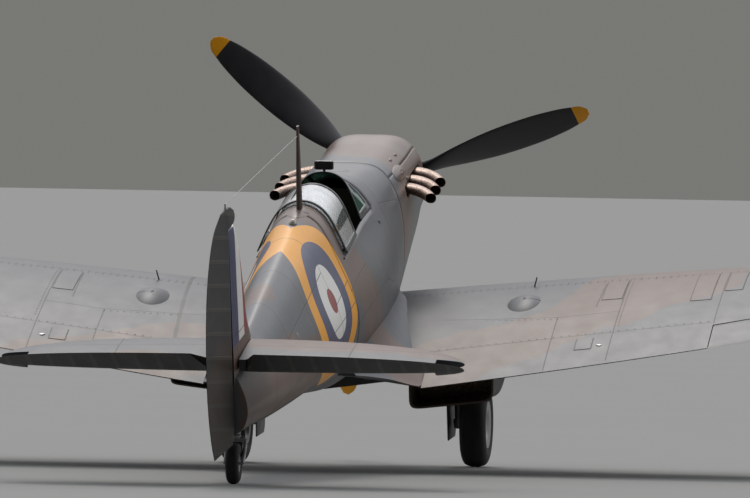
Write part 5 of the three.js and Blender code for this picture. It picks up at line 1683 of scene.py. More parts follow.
def dial(x, z, radius, turn):
    """A dial's case with its glass, then its needle and its marks."""
    centre = np.array([x, PANEL_FACE, z])
    profile = [(0, 0), (0, radius + BEZEL), (BEZEL_PROUD, radius + BEZEL), (BEZEL_PROUD, radius),
               (GLASS_PROUD, radius - 0.002), (GLASS_PROUD, 0.0)]
    face = centre + (0, NEEDLE_PROUD, 0)
    white = [tube("needle", [face + clock_way(turn) * r * radius for r in NEEDLE_REACH], NEEDLE_RADII, 8)]
    for tick in range(0, 360, TICK_TURN):
        start, end = (centre + (0, TICK_PROUD, 0) + clock_way(tick) * r * radius for r in TICK_REACH)
        white.append(tube("tick", [start, between(start, end, 0.5), end], [TICK_RADIUS] * 3, 6))
    bezel = turned("bezel", profile, centre, (0, 1, 0), 32)
    return [coated(bezel, dial_glass), *[coated(piece, needle_white) for piece in white]]


dials = [piece for row in DIALS for piece in dial(*row)]
fitted(merge("panel_dials", dials), "airframe", "black_paint")

STICK = [(0, 3.660, -0.480), (0, 3.652, -0.25), (0, 3.645, -0.05), (0, 3.640, 0.012)]
STICK_RADII = (0.018, 0.017, 0.015, 0.014)
GRIP_AT = (3.640, 0.070)
GRIP_RADIUS = 0.062
GRIP_THICK = 0.0135
GRIP_CORD = 0.0010
grip_turns = np.linspace(0, 2 * math.pi, 49)
grip_path = level_rows(GRIP_RADIUS * np.sin(grip_turns), GRIP_AT[0],
                       GRIP_AT[1] + GRIP_RADIUS * np.cos(grip_turns))
grip_radii = [GRIP_THICK + GRIP_CORD * (index % 2) for index in range(len(grip_path))]
column_parts = [tube("stick", STICK, STICK_RADII, 20), tube("grip", grip_path, grip_radii, 14)]
column = merge("spade_grip_column", [coated(piece, black_enamel) for piece in column_parts])
fitted(column, "airframe", "black_paint", "control_column")


# The head rest is a leather pad stuffed with hair, sewn round its edge and strapped to a steel bracket. The
# bracket is bolted to the frame behind the seat.
LEATHER = (0.105, 0.048, 0.024)
LEATHER_WORN = (0.19, 0.095, 0.05)


def hide(shade):
    grain = shade.node("TexVoronoi", {"feature": "DISTANCE_TO_EDGE"}, {"Vector": shade.spot(), "Scale": 420})
    worn = shade.noise(16, 5)
    return {
        "Base_Color": worn.choose(LEATHER, LEATHER_WORN),
        "Roughness": 0.38 + worn * 0.25,
        "Normal": shade.bump(grain, 0.35, 0.0012),
    }


leather = material("tan leather", hide)
PAD_X = 0.088
PAD_FRONT = 4.322
PAD_BACK = 4.350
PAD_LOW = 0.306
PAD_HIGH = 0.554
PAD_SWELL = 0.008
PAD_ROUND = 0.010
PAD_CELL = 0.005
PAD_PRESSURE = 4
PAD_STEPS = 20
PAD_BRACKET = ((-0.058, 0.058), (4.353, 4.398), (0.312, 0.498))
SOFT_EDGE = 0.006


def head_pad():
    pad = box_piece("head_rest_pad", (-PAD_X, PAD_X), (PAD_FRONT, PAD_BACK), (PAD_LOW, PAD_HIGH))
    edge = pad.modifiers.new("round", "BEVEL")
    edge.width = PAD_ROUND
    edge.segments = 3
    cells = pad.modifiers.new("cells", "REMESH")
    cells.mode = "VOXEL"
    cells.voxel_size = PAD_CELL
    settle(pad)
    before = np.array([v.co for v in pad.data.vertices])
    cloth = pad.modifiers.new("cloth", "CLOTH")
    cloth.settings.use_pressure = True
    cloth.settings.uniform_pressure_force = PAD_PRESSURE
    cloth.settings.effector_weights.gravity = 0
    for step in range(1, PAD_STEPS + 1):
        bpy.context.scene.frame_set(step)
    settle(pad)
    after = np.array([v.co for v in pad.data.vertices])
    move = after - before
    far = np.linalg.norm(move, axis=1, keepdims=True)
    capped = before + move * np.minimum(1, PAD_SWELL / np.maximum(far, ROUNDING))
    pad.data.vertices.foreach_set("co", capped.astype(np.float32).ravel())
    bpy.context.scene.frame_set(1)
    smooth_pad = pad.modifiers.new("fine", "SUBSURF")
    smooth_pad.levels = 1
    settle(pad)
    pad.data.shade_smooth()
    return pad


pad = fitted(coated(head_pad(), leather), "airframe", "leather", "headrest")
bracket = box_piece("head_rest_bracket", *PAD_BRACKET)
bracket.modifiers.new("edges", "BEVEL").width = SOFT_EDGE
fitted(tidy(coated(settle(bracket), cockpit_green)), "airframe", "cockpit_green")

# The fin is a metal fin on two posts. The rudder and elevators are light frames covered with doped
# fabric, drawn tight between the ribs and taped over each of them.
FIN_ROWS = [  # height, leading station, half thickness
    (0.300, 7.180, 0.062), (0.450, 7.400, 0.060), (0.600, 7.560, 0.052), (0.800, 7.665, 0.045),
    (1.000, 7.765, 0.037), (1.200, 7.900, 0.030), (1.320, 8.020, 0.024), (1.352, 8.080, 0.020),
]
FIN_GIRTH = [  # share of the chord, share of the half thickness
    (0, 0.0), (0.02, 0.24), (0.04, 0.36), (0.12, 0.62), (0.28, 0.90), (0.50, 1.0), (0.75, 0.92), (1.0, 0.74),
]
# Seams of the fin as rows: height, station, far height, far station
FIN_SEAMS = [(0.3, 8.2, 1.3, 8.33), (0.62, 7.2, 0.62, 8.4)]
# The stripes begin at a height over the thrust line; each row is a front edge and a colour
STRIPES_FOOT = 0.56
FIN_STRIPES = ((7.70, ROUNDEL_RED), (7.925, ROUNDEL_WHITE), (8.15, ROUNDEL_BLUE))
RUDDER_HINGE = 8.390
FIN_REAR = 0.014
# The rounded nose of the rudder: height and radius at the foot, height and radius at the top
RUDDER_NOSE = (-0.105, 0.045, 1.352, 0.022)
NOSE_COVE = (-0.12, 1.36)
RUDDER_ROWS = [  # height, chord behind the hinge, half thickness there
    (-0.110, 0.470, 0.030), (0.0, 0.545, 0.042), (0.130, 0.610, 0.041), (0.300, 0.665, 0.038),
    (0.500, 0.700, 0.035), (0.700, 0.705, 0.032), (0.900, 0.690, 0.029), (1.080, 0.655, 0.026),
    (1.240, 0.580, 0.023), (1.370, 0.480, 0.020), (1.460, 0.350, 0.018), (1.520, 0.170, 0.012),
]
RUDDER_GIRTH = [(0, 1.0), (0.3, 0.72), (0.65, 0.40), (1.0, 0.06)]
RUDDER_REST = math.radians(3)
RIB_PITCH = 0.165
RIB_SAG = 0.0035
RIB_RISE = 0.22


def fin_section(z):
    lead, half = smooth(FIN_ROWS, z)
    shares = np.sin(np.linspace(0, 1, 22) * math.pi / 2) ** 2
    girth = [smooth(FIN_GIRTH, s)[0] if s > 0 else 0.0 for s in shares]
    stations = lead + (RUDDER_HINGE - FIN_REAR - lead) * shares
    side = level_rows(half * np.array(girth), stations, z)
    return np.vstack([side, side[:0:-1] * (-1, 1, 1)])


def fin_paint(shade):
    """Camouflage with three upright stripes: red ahead, white, and blue next to the rudder."""
    station, z = level_place(shade)[1:]
    colour = striped = camouflage(shade, z, station, FIN_BANDS, -2)
    for edge, stripe in FIN_STRIPES:
        striped = station.step(edge, DISC_EDGE).choose(striped, stripe)
    seams = line_mask(shade, joined(shade, z, station), FIN_SEAMS, SEAM_WIDTH)
    return satin(shade, z.step(STRIPES_FOOT, 0.006).choose(colour, striped), seams)


painted_fin = material("fin paint", fin_paint, **PAINT_PLAIN)
fin = lofted("fin_skin", [fin_section(z) for z in np.linspace(FIN_ROWS[0][0], FIN_ROWS[-1][0], 40)])


def rudder_radius(z):
    low, wide, high, narrow = RUDDER_NOSE
    return between(wide, narrow, (z - low) / (high - low))


cove_profile = [(z, rudder_radius(z) + MOVING_GAP) for z in NOSE_COVE]
cove = turned("cove", cove_profile, (0, RUDDER_HINGE, 0), (0, 0, 1), 40)
fin = largest(carve(fin, cove, body_room(HAIR)))
fitted(coated(fin, painted_fin), "airframe", "camouflage", "fin")


def about_hinge(rows, turn):
    """Turns level places about the rudder's hinge, trailing edge to port."""
    rows = np.asarray(rows, float)
    x, s = rows[..., 0], rows[..., 1] - RUDDER_HINGE
    turned_x = x * math.cos(turn) - s * math.sin(turn)
    turned_s = x * math.sin(turn) + s * math.cos(turn)
    return np.stack([turned_x, turned_s + RUDDER_HINGE, rows[..., 2]], axis=-1)


def rudder_section(z):
    chord, half = smooth(RUDDER_ROWS, z)
    radius = min(half, rudder_radius(z)) if z < RUDDER_NOSE[2] else half * 0.8
    shares = np.linspace(0, 1, 22)
    girth = np.array([smooth(RUDDER_GIRTH, s)[0] for s in shares])
    rib = (z - RIB_RISE * chord * shares) / RIB_PITCH % 1.0
    sag = RIB_SAG * np.sin(math.pi * rib) ** 0.8 * np.sin(math.pi * np.clip(shares * 1.05, 0, 1)) ** 0.6
    width = np.maximum(half * girth - sag, half * 0.06)
    side = level_rows(width, RUDDER_HINGE + chord * shares, z)
    turn = np.linspace(math.pi / 2, -math.pi / 2, 12)[1:-1]
    nose = level_rows(np.sin(turn) * radius, RUDDER_HINGE - np.cos(turn) * radius, z)
    return np.vstack([side[::-1], nose, side * (-1, 1, 1)])


RUDDER_PAINTED_SHADE = (0.030, 0.028, 0.024)
RUDDER_TAPE = (0.10, 0.09, 0.075)


def fabric_paint(shade):
    """Camouflage on doped fabric, mixed mostly toward near black as painted shade, with pinked tapes along
    the ribs.
    """
    station, z = level_place(shade)[1:]
    # Painted shade: the camouflage goes 65 to 85 percent of the way to near black
    rudder_shade_share = shade.noise(3, 4) * 0.2 + 0.65
    colour = rudder_shade_share.choose(camouflage(shade, z, station, FIN_BANDS, -2), RUDDER_PAINTED_SHADE)
    slant = z - (station - RUDDER_HINGE) * RIB_RISE
    rib = slant.maths("FRACT", slant / RIB_PITCH)
    tape = abs(rib - 0.5).step(0.42, 0.02)
    weave = shade.noise(700, 2)
    made = satin(shade, (tape * 0.4).choose(colour, RUDDER_TAPE))
    made["Normal"] = shade.bump(tape * 0.0012 + weave * 0.0004, 0.8, 1.0)
    return made


doped_rudder_shaded = material("doped rudder fabric with painted shade", fabric_paint, Specular_IOR_Level=0.2)
HORN = [  # station behind the hinge, height
    (0.020, 1.366), (-0.120, 1.369), (-0.230, 1.376), (-0.272, 1.395), (-0.278, 1.425), (-0.230, 1.470),
    (-0.120, 1.512), (0.020, 1.522), (0.080, 1.500),
]
HORN_LAYERS = [(-0.014, 0.86), (-0.011, 0.97), (0, 1), (0.011, 0.97), (0.014, 0.86)]
RUDDER_PITCH = 0.018
rudder_zs = spread(RUDDER_ROWS[0][0], RUDDER_ROWS[-1][0], RUDDER_PITCH)
blade = lofted("blade", [about_hinge(rudder_section(z), RUDDER_REST) for z in rudder_zs])
middle = np.mean(HORN, axis=0)


def horn_ring(x, shrink):
    flat = middle + (np.array(HORN) - middle) * shrink
    return about_hinge([(x, RUDDER_HINGE + s, z) for s, z in flat], RUDDER_REST)


horn = lofted("horn", [horn_ring(x, shrink) for x, shrink in HORN_LAYERS])
rudder = merge("rudder_skin", [coated(piece, doped_rudder_shaded) for piece in (blade, horn)])
fitted(rudder, "rudder", "camouflage", "rudder")


# The tailplanes are metal, bolted to the fin's frames. Their rounded tips belong to the elevators, which
# are covered with doped fabric and turn together on one shaft.
TAIL_HALF_SPAN = 1.600
TAIL_Z = 0.420
TAIL_LEAD = 0.730
TAIL_TRAIL = 0.410
TAIL_POWER = 2.4
TAIL_THICK = 0.1
ELEVATOR_HINGE = 8.290
ELEVATOR_INNER = 0.120
ELEVATOR_OUTER = 1.400
ELEVATOR_HORN = 0.150
ELEVATOR_REST = math.radians(24)
ELEVATOR_RIB = 0.15
ELEVATOR_SAG = 0.0022
ELEVATOR_PITCH = 0.025
ELEVATOR_TAPE = (0.12, 0.11, 0.095)
# Where the sections of an elevator's tip lie, ever closer to its end
TIP_XS = (1.4005, 1.43, 1.46, 1.49, 1.52, 1.55, 1.57, 1.585, 1.593, 1.5968)
TAIL_ROOT_X = 0.066
TAIL_END_SHARE = 0.998
# Seams of the tailplanes as rows: x, station, far x, far station
TAIL_SEAMS = [(0.1, 7.92, 1.5, 7.98), (0.8, 7.5, 0.8, 8.3)]
TAIL_SEAM_WIDTH = 0.006
# What is cut off an elevator's root, as x and station
ROOT_CUT = [
    (0, 8.0), (ELEVATOR_INNER, 8.0), (ELEVATOR_INNER + 0.001, ELEVATOR_HINGE + 0.02), (0.3, 9.0), (0, 9.0),
]
# How far the tools that make room for the elevators reach beyond them
PAST_TAIL_X = 2
PAST_TAIL = 9.5


def tail_share(x):
    return (1 - (x / TAIL_HALF_SPAN) ** TAIL_POWER) ** (1 / TAIL_POWER)


def tail_section(side, x, steps=20):
    share = tail_share(x)
    lead, chord = ELEVATOR_HINGE - TAIL_LEAD * share, (TAIL_LEAD + TAIL_TRAIL) * share
    along = 1 - np.cos(np.linspace(0, 1, steps + 1) * math.pi / 2)
    half = foil_half(TAIL_THICK, along) * chord
    top = level_rows(side * x, lead + along * chord, TAIL_Z + half)
    return np.vstack([top[::-1], (top * (1, 1, -1) + (0, 0, 2 * TAIL_Z))[1:]])


def elevator_half(x, run):
    chord = (TAIL_LEAD + TAIL_TRAIL) * tail_share(x)
    return foil_half(TAIL_THICK, run / chord + TAIL_LEAD / (TAIL_LEAD + TAIL_TRAIL)) * chord


def elevator_section(side, x, ahead):
    trail = TAIL_TRAIL * tail_share(x)
    radius = elevator_half(x, 0.0)
    turn = np.radians(np.linspace(90, 270, 13))
    reach = ahead or radius
    runs = np.cos(turn) * reach
    lift = np.sin(turn) * (elevator_half(x, runs) if ahead else radius)
    after = np.linspace(0, trail, 12)[1:]
    half = elevator_half(x, after)
    rib = ELEVATOR_SAG * np.sin(math.pi * ((x / ELEVATOR_RIB) % 1.0)) * np.sin(math.pi * after / trail)
    s = np.concatenate([runs, after, after[:-1][::-1]])
    z = np.concatenate([lift, -(half - rib), (half - rib)[:-1][::-1]])
    return level_rows(side * x, ELEVATOR_HINGE + s, TAIL_Z + z)


def raised(rows, turn):
    """Turns level places about the elevators' hinge, trailing edge up."""
    rows = np.asarray(rows, float)
    s, z = rows[..., 1] - ELEVATOR_HINGE, rows[..., 2] - TAIL_Z
    return np.stack([rows[..., 0], ELEVATOR_HINGE + s * math.cos(turn) - z * math.sin(turn),
                     TAIL_Z + s * math.sin(turn) + z * math.cos(turn)], axis=-1)


def tailplane_paint(shade):
    x, station = level_place(shade)[:2]
    colour = camouflage(shade, x, station, TAILPLANE_BANDS, 0.0)
    seams = line_mask(shade, joined(shade, abs(x), station), TAIL_SEAMS, TAIL_SEAM_WIDTH)
    return satin(shade, colour, seams)


def elevator_paint(shade):
    x, station = level_place(shade)[:2]
    # Where the raised elevator faces aft and down it takes the near-black painted shade
    colour = camouflage(shade, x, station, TAILPLANE_BANDS, 0.25)
    rib = x.maths("FRACT", abs(x) / ELEVATOR_RIB)
    tape = abs(rib - 0.5).step(0.40, 0.03)
    made = satin(shade, (tape * 0.25).choose(colour, ELEVATOR_TAPE))
    made["Normal"] = shade.bump(tape * 0.001 + shade.noise(700, 2) * 0.0004, 0.8, 1.0)
    return made


painted_tailplane = material("tailplane paint", tailplane_paint, **PAINT_PLAIN)
doped_elevator = material("doped elevator fabric", elevator_paint, Specular_IOR_Level=0.2)


def elevator_room(side):
    """Tools for an elevator's room: behind its hinge, round its nose and ahead of its horn."""
    behind = box_piece("behind", sorted((0, side * PAST_TAIL_X)), (ELEVATOR_HINGE - MOVING_GAP, PAST_TAIL),
                       (-FAR, FAR))
    rings = []
    for x in np.linspace(ELEVATOR_INNER, ELEVATOR_OUTER, 12):
        turn = circle(24)
        radius = elevator_half(x, 0.0) + MOVING_GAP
        wide = x - MOVING_GAP if x == ELEVATOR_INNER else x
        rings.append(level_rows(side * wide, ELEVATOR_HINGE + radius * np.cos(turn),
                                TAIL_Z + radius * np.sin(turn)))
    across = sorted((side * (ELEVATOR_OUTER - MOVING_GAP), side * PAST_TAIL_X))
    along = (ELEVATOR_HINGE - ELEVATOR_HORN - MOVING_GAP, PAST_TAIL)
    return behind, lofted("cove", rings), box_piece("horn", across, along, (-FAR, FAR))


def tailplane(name, side):
    tip = TAIL_HALF_SPAN * TAIL_END_SHARE
    xs = between(TAIL_ROOT_X, tip, np.sin(np.linspace(0, 1, 34) * math.pi / 2))
    plane = lofted("tailplane_skin_" + name, [tail_section(side, x) for x in xs])
    plane = largest(carve(plane, body_room(HAIR), *elevator_room(side)))
    fitted(coated(plane, painted_tailplane), "airframe", "camouflage", "tailplane_" + name)


def elevator(name, side):
    """An elevator with its horn, cut on a slant at the root so that the rudder can swing."""
    inner = [elevator_section(side, x, 0) for x in spread(ELEVATOR_INNER, ELEVATOR_OUTER, ELEVATOR_PITCH)]
    horn_share = ELEVATOR_HORN / tail_share(ELEVATOR_OUTER)
    outer = [elevator_section(side, x, horn_share * tail_share(x)) for x in TIP_XS]
    surface = lofted("elevator_skin_" + name, [raised(ring, ELEVATOR_REST) for ring in inner + outer])
    ends = [raised([(side * x, s, z) for x, s in ROOT_CUT], ELEVATOR_REST) for z in (-FAR, FAR)]
    surface = largest(carve(surface, lofted("diagonal", ends)))
    fitted(coated(surface, doped_elevator), "elevators", "camouflage", "elevator_" + name)


for name, side in SIDES.items():
    tailplane(name, side)
    elevator(name, side)

# Each elevator has one forged hinge bracket that stands over its gap, painted black. A bare arm for the
# cable sticks out of the rudder's port side.
BRACKET_X = 0.640
BRACKET_HALF = 0.010
BRACKET_SUNK = 0.012
BRACKET_RUN = (8.235, 8.278)
BRACKET_HIGH = 0.030
RUDDER_ARM = [(-0.020, 8.470, 0.560), (-0.110, 8.455, 0.566), (-0.125, 8.455, 0.567)]
RUDDER_ARM_RADII = [0.016, 0.009, 0.007]
for name, side in SIDES.items():
    top = TAIL_Z + elevator_half(BRACKET_X, 0.0)
    across = sorted((side * (BRACKET_X - BRACKET_HALF), side * (BRACKET_X + BRACKET_HALF)))
    high = (top - BRACKET_SUNK, top + BRACKET_HIGH)
    bracket = box_piece("hinge_bracket_" + name, across, BRACKET_RUN, high)
    soft = bracket.modifiers.new("soft", "BEVEL")
    soft.width = SOFT_EDGE
    soft.segments = 3
    fitted(coated(tidy(settle(bracket)), black_enamel), "airframe", "black_paint")
arm = tube("rudder_arm", about_hinge(RUDDER_ARM, RUDDER_REST), RUDDER_ARM_RADII, 16)
fitted(coated(arm, bare_metal), "rudder", "bare_metal")

# The aerial mast is a tapered wooden mast of oval section. A taut steel wire runs from it to a short post
# on the rudder's hinge line.
MAST_ROWS = [  # height, station, chord, half thickness
    (0.700, 4.795, 0.120, 0.022), (1.050, 4.822, 0.092, 0.016), (1.355, 4.845, 0.060, 0.009),
]
MAST_TOP = 1.352
MAST_WOOD = (0.045, 0.026, 0.018)
MAST_GRAIN = (0.075, 0.046, 0.032)
POST_PATH = [(0, RUDDER_HINGE, 1.500), (0, RUDDER_HINGE, 1.535), (0, RUDDER_HINGE, 1.560)]
POST_RADII = (0.009, 0.006, 0.0045)
WIRE_ENDS = np.array([(0, 4.868, 1.285), (0, RUDDER_HINGE, 1.554)])
WIRE_RADIUS = 0.0022
WIRE_POINTS = 9


def mast_ring(z):
    station, chord, half = smooth(MAST_ROWS, z)
    turn = circle(24)
    return level_rows(half * np.sin(turn), station - chord / 2 * np.cos(turn), z)


def mast_finish(shade):
    return {
        "Base_Color": shade.noise(24, 5, (3, 3, 0.3)).choose(MAST_WOOD, MAST_GRAIN),
        "Roughness": 0.4 + shade.noise(40) * 0.2,
    }


mast_paint = material("mast paint", mast_finish)
mast = lofted("mast", [mast_ring(z) for z in np.linspace(MAST_ROWS[0][0], MAST_TOP, 24)])
mast = largest(carve(mast, body_room(HAIR)))
fitted(coated(mast, mast_paint), "airframe", "camouflage", "aerial_mast")
post = tube("aerial_post", POST_PATH, POST_RADII, 12)
fitted(coated(post, bare_metal), "rudder", "bare_metal")
wire_path = [between(*WIRE_ENDS, t) for t in np.linspace(0, 1, WIRE_POINTS)]
wire = tube("aerial_wire", wire_path, [WIRE_RADIUS] * WIRE_POINTS, 8)
fitted(coated(wire, bare_metal), "airframe", "bare_metal")


# Each main leg is an oleo strut with a bare sliding tube, an axle stub at its foot and a fairing door on
# its inboard side. The wheels have plain pressed covers, and three grooves run round their tyres.
LEG_TOP = np.array([0.745, 2.010, -0.650])
LEG_FOOT = np.array([0.756, 1.965, -1.459])
AXLE = np.array([0.885, 1.965, -1.459])
STUB_SHORT = (0.040, 0, 0)
# Straight parts of the leg: name, ends, places along it from one end to the other, radii, sides, bare or not
KNEE = 0.62
SLIDE_TOP = 0.66
LEG_TUBES = [
    ("body", (0, KNEE), (0, 0.5, 0.93, 0.95, 1), (0.040, 0.040, 0.040, 0.042, 0.042), 28, False),
    ("oleo", (SLIDE_TOP, 1), (-0.2, 0.5, 1.0), (0.027, 0.027, 0.027), 24, True),
    ("lug", (0, 1), (0.94, 0.97, 1.03), (0.034, 0.040, 0.034), 20, False),
]
STUB_RADIUS = 0.026
LINK_SPREAD = 0.035
LINK_ENDS = (0.60, 0.95)
LINK_ELBOW = (0.0, -0.105, 0)
LINK_RADII = (0.009, 0.011, 0.009)
DOOR_OUTLINE = [  # station from the leg, height
    (-0.215, -0.745), (0.215, -0.745), (0.218, -1.10), (0.222, -1.532), (0.10, -1.549), (-0.150, -1.586),
    (-0.195, -1.555), (-0.215, -1.480), (-0.217, -1.10),
]
DOOR_MIDDLE = -1.17
DOOR_INWARD = 0.046
DOOR_THICK = 0.012
DOOR_ROUND = 0.003
DOOR_SHRINK = 0.012
TYRE_RADIUS = 0.3075
TYRE_BORE = 0.172
TYRE_WIDTH = 0.192
TYRE_GROOVES = (-0.03, 0, 0.03)
GROOVE_HALF = 0.0028
GROOVE_DEEP = 0.004
HUB_PROFILE = [  # distance outboard, radius
    (0.062, 0.0), (0.064, 0.03), (0.064, 0.088), (0.070, 0.097), (0.079, 0.112), (0.083, 0.125),
    (0.082, 0.150), (0.086, 0.162), (0.088, 0.171), (-0.088, 0.171), (-0.084, 0.130), (-0.056, 0.110),
    (-0.056, 0.032), (-0.036, 0.030), (-0.036, 0.0),
]
RUBBER_BLACK = (0.014, 0.014, 0.014)
RUBBER_DUSTY = (0.075, 0.068, 0.058)
SILVER = (0.42, 0.425, 0.42)
SILVER_DIRTY = (0.16, 0.15, 0.13)
UNDER_WORN = [c * 0.8 for c in UNDER_PAINT_AND_SHADE]


def rubber_finish(shade):
    dust = shade.noise(20, 6)
    return {
        "Base_Color": (dust * 0.5).choose(RUBBER_BLACK, RUBBER_DUSTY),
        "Roughness": 0.72 + dust * 0.2,
        "Normal": shade.bump(shade.noise(160, 3), 0.25, 0.001),
    }


rubber = material("tyre rubber", rubber_finish)


def silver(shade):
    dirt = shade.noise(15, 5)
    return {
        "Base_Color": (dirt * 0.5).choose(SILVER, SILVER_DIRTY),
        "Roughness": 0.32 + dirt * 0.3,
    }


silver_paint = material("silver paint", silver, Metallic=0.4)


# The underside colour made near black as painted shade, with random darker patches
def underside_and_shade_finish(shade):
    return satin(shade, shade.noise(3, 5).choose(UNDER_PAINT_AND_SHADE, UNDER_WORN))


underside_paint_and_shade = material("underside paint and shade", underside_and_shade_finish, **PAINT_PLAIN)


def leg(name, side):
    flip = (side, 1, 1)
    parts = []
    for part, ends, places, radii, sides, bare in LEG_TUBES:
        top, foot = (between(LEG_TOP, LEG_FOOT, end) for end in ends)
        piece = tube(part, [between(top, foot, t) * flip for t in places], radii, sides)
        parts.append(coated(piece, bare_metal if bare else silver_paint))
    stub_end = AXLE - STUB_SHORT
    stub = tube("stub", [between(LEG_FOOT, stub_end, t) * flip for t in (0, 0.5, 1)], [STUB_RADIUS] * 3, 24)
    parts.append(coated(stub, bare_metal))
    for ds in (-LINK_SPREAD, LINK_SPREAD):
        high, low = (between(LEG_TOP, LEG_FOOT, t) + (0, ds, 0) for t in LINK_ENDS)
        elbow = between(high, low, 0.5) + LINK_ELBOW
        link = tube("link", [high * flip, elbow * flip, low * flip], LINK_RADII, 10)
        parts.append(coated(link, silver_paint))
    fitted(merge("leg_strut_" + name, parts), "airframe", "silver_paint", "gear_leg_" + name)


def leg_door(name, side):
    """A plate along the leg, its two faces a little smaller than its middle."""
    rings = []
    for inward, shrink in ((0.0, DOOR_SHRINK), (DOOR_ROUND, 0.0), (DOOR_THICK - DOOR_ROUND, 0.0),
                           (DOOR_THICK, DOOR_SHRINK)):
        ring = []
        for ds, z in DOOR_OUTLINE:
            ds *= 1 - shrink * 4
            z = between(z, DOOR_MIDDLE, shrink * 2)
            share = (z - LEG_TOP[2]) / (LEG_FOOT[2] - LEG_TOP[2])
            x = between(LEG_TOP[0], LEG_FOOT[0], share) - DOOR_INWARD - inward
            ring.append((side * x, between(LEG_TOP[1], LEG_FOOT[1], share) + ds, z))
        rings.append(ring)
    plate = coated(lofted("leg_door_" + name, rings), underside_paint_and_shade)
    fitted(plate, "airframe", "underside", "gear_door_" + name)


def tyre_profile(radius, bore, width, grooves):
    half = width / 2
    rows = [(-0.86, 0.003), (-1.0, 0.3), (-0.97, 0.62), (-0.78, 0.86)]
    side = [(w * half, bore + (radius - bore) * share) for w, share in rows]
    table = listed([*side, (-0.45 * half, radius * 0.985), (0, radius)])
    curve = [tuple(smooth(table, t)) for t in np.linspace(0, 5, 26)]
    curve = [(w, min(r, radius)) for w, r in curve]
    whole = curve + [(-w, r) for w, r in curve[-2::-1]]
    sunk = [any(abs(w - groove) < GROOVE_HALF for groove in grooves) for w, r in whole]
    return [(w, r - GROOVE_DEEP * in_groove) for (w, r), in_groove in zip(whole, sunk)]


def wheel(name, side):
    body, centre, axis = "wheel_" + name, AXLE * (side, 1, 1), (side, 0, 0)
    profile = tyre_profile(TYRE_RADIUS, TYRE_BORE, TYRE_WIDTH, TYRE_GROOVES)
    tyre = turned(f"tyre_{name}_cover", profile, centre, axis, 96, loop=True)
    fitted(coated(tyre, rubber), body, "tyre", "tyre_" + name)
    hub = turned(f"hub_{name}_cover", HUB_PROFILE, centre, axis, 64)
    fitted(coated(hub, silver_paint), body, "silver_paint", "wheel_hub_" + name)


for name, side in SIDES.items():
    leg(name, side)
    leg_door(name, side)
    wheel(name, side)

# The tail leg is a short oleo of steel tube with a castoring fork, welded up, that straddles a small
# plain wheel.
TAIL_AXLE = np.array([0, 8.140, -0.2955])
NOSE_UP = abs(math.asin(FORWARD.z))
CASTOR_LINE = -0.105
TAIL_TYRE = (0.140, 0.060, 0.090)
TAIL_HUB = [  # distance outboard, radius
    (0.036, 0.0125), (0.037, 0.040), (0.038, 0.059), (-0.038, 0.059), (-0.037, 0.040), (-0.036, 0.0125),
]
# Height over the axle and radius, up the strut and up the fork's head
STRUT_ROWS = [(0.195, 0.030), (0.21, 0.030), (0.212, 0.026), (0.30, 0.028), (0.42, 0.034)]
HEAD_ROWS = [(0.165, 0.030), (0.17, 0.034), (0.185, 0.034), (0.190, 0.030)]
YOKE_HALF = 0.062
YOKE_RADIUS = 0.020
FORK_HALF = 0.060
TAIL_AXLE_RADIUS = 0.011
ARM_ROWS = [(CASTOR_LINE, 0.165, 0.015), (-0.098, 0.12, 0.016), (-0.05, 0.05, 0.015), (0, 0, 0.013)]


def tail_spot(x, back, rise):
    """A level place from the tail wheel's axle, measured along and above the ground."""
    along, up = math.cos(NOSE_UP), math.sin(NOSE_UP)
    return TAIL_AXLE + (x, back * along - rise * up, back * up + rise * along)


def tail_post(name, rows):
    return tube(name, [tail_spot(0, CASTOR_LINE, z) for z, _ in rows], [radius for _, radius in rows], 32)


strut = largest(carve(tail_post("tail_strut_tube", STRUT_ROWS), body_room(HAIR)))
fitted(coated(strut, silver_paint), "airframe", "silver_paint", "tail_strut")
yoke_path = [tail_spot(x, CASTOR_LINE, HEAD_ROWS[0][0]) for x in (-YOKE_HALF, 0, YOKE_HALF)]
axle_path = [tail_spot(x, 0, 0) for x in (-FORK_HALF, 0, FORK_HALF)]
fork_parts = [
    tail_post("head", HEAD_ROWS),
    tube("yoke", yoke_path, [YOKE_RADIUS] * 3, 20),
    tube("axle", axle_path, [TAIL_AXLE_RADIUS] * 3, 16),
]
for x in (-FORK_HALF, FORK_HALF):
    path = [tail_spot(x, back, rise) for back, rise, _ in ARM_ROWS]
    fork_parts.append(tube("arm", path, [row[-1] for row in ARM_ROWS], 18))
fork = merge("tail_fork_frame", [coated(piece, silver_paint) for piece in fork_parts])
fitted(fork, "tailwheel_fork", "silver_paint", "tail_fork")
tail_tyre = turned("tail_tyre_cover", tyre_profile(*TAIL_TYRE, ()), TAIL_AXLE, (1, 0, 0), 64, loop=True)
fitted(coated(tail_tyre, rubber), "tailwheel", "tyre", "tail_tyre")
tail_hub = turned("tail_hub_disc", TAIL_HUB, TAIL_AXLE, (1, 0, 0), 48, loop=True)
fitted(coated(tail_hub, silver_paint), "tailwheel", "silver_paint", "tail_hub")

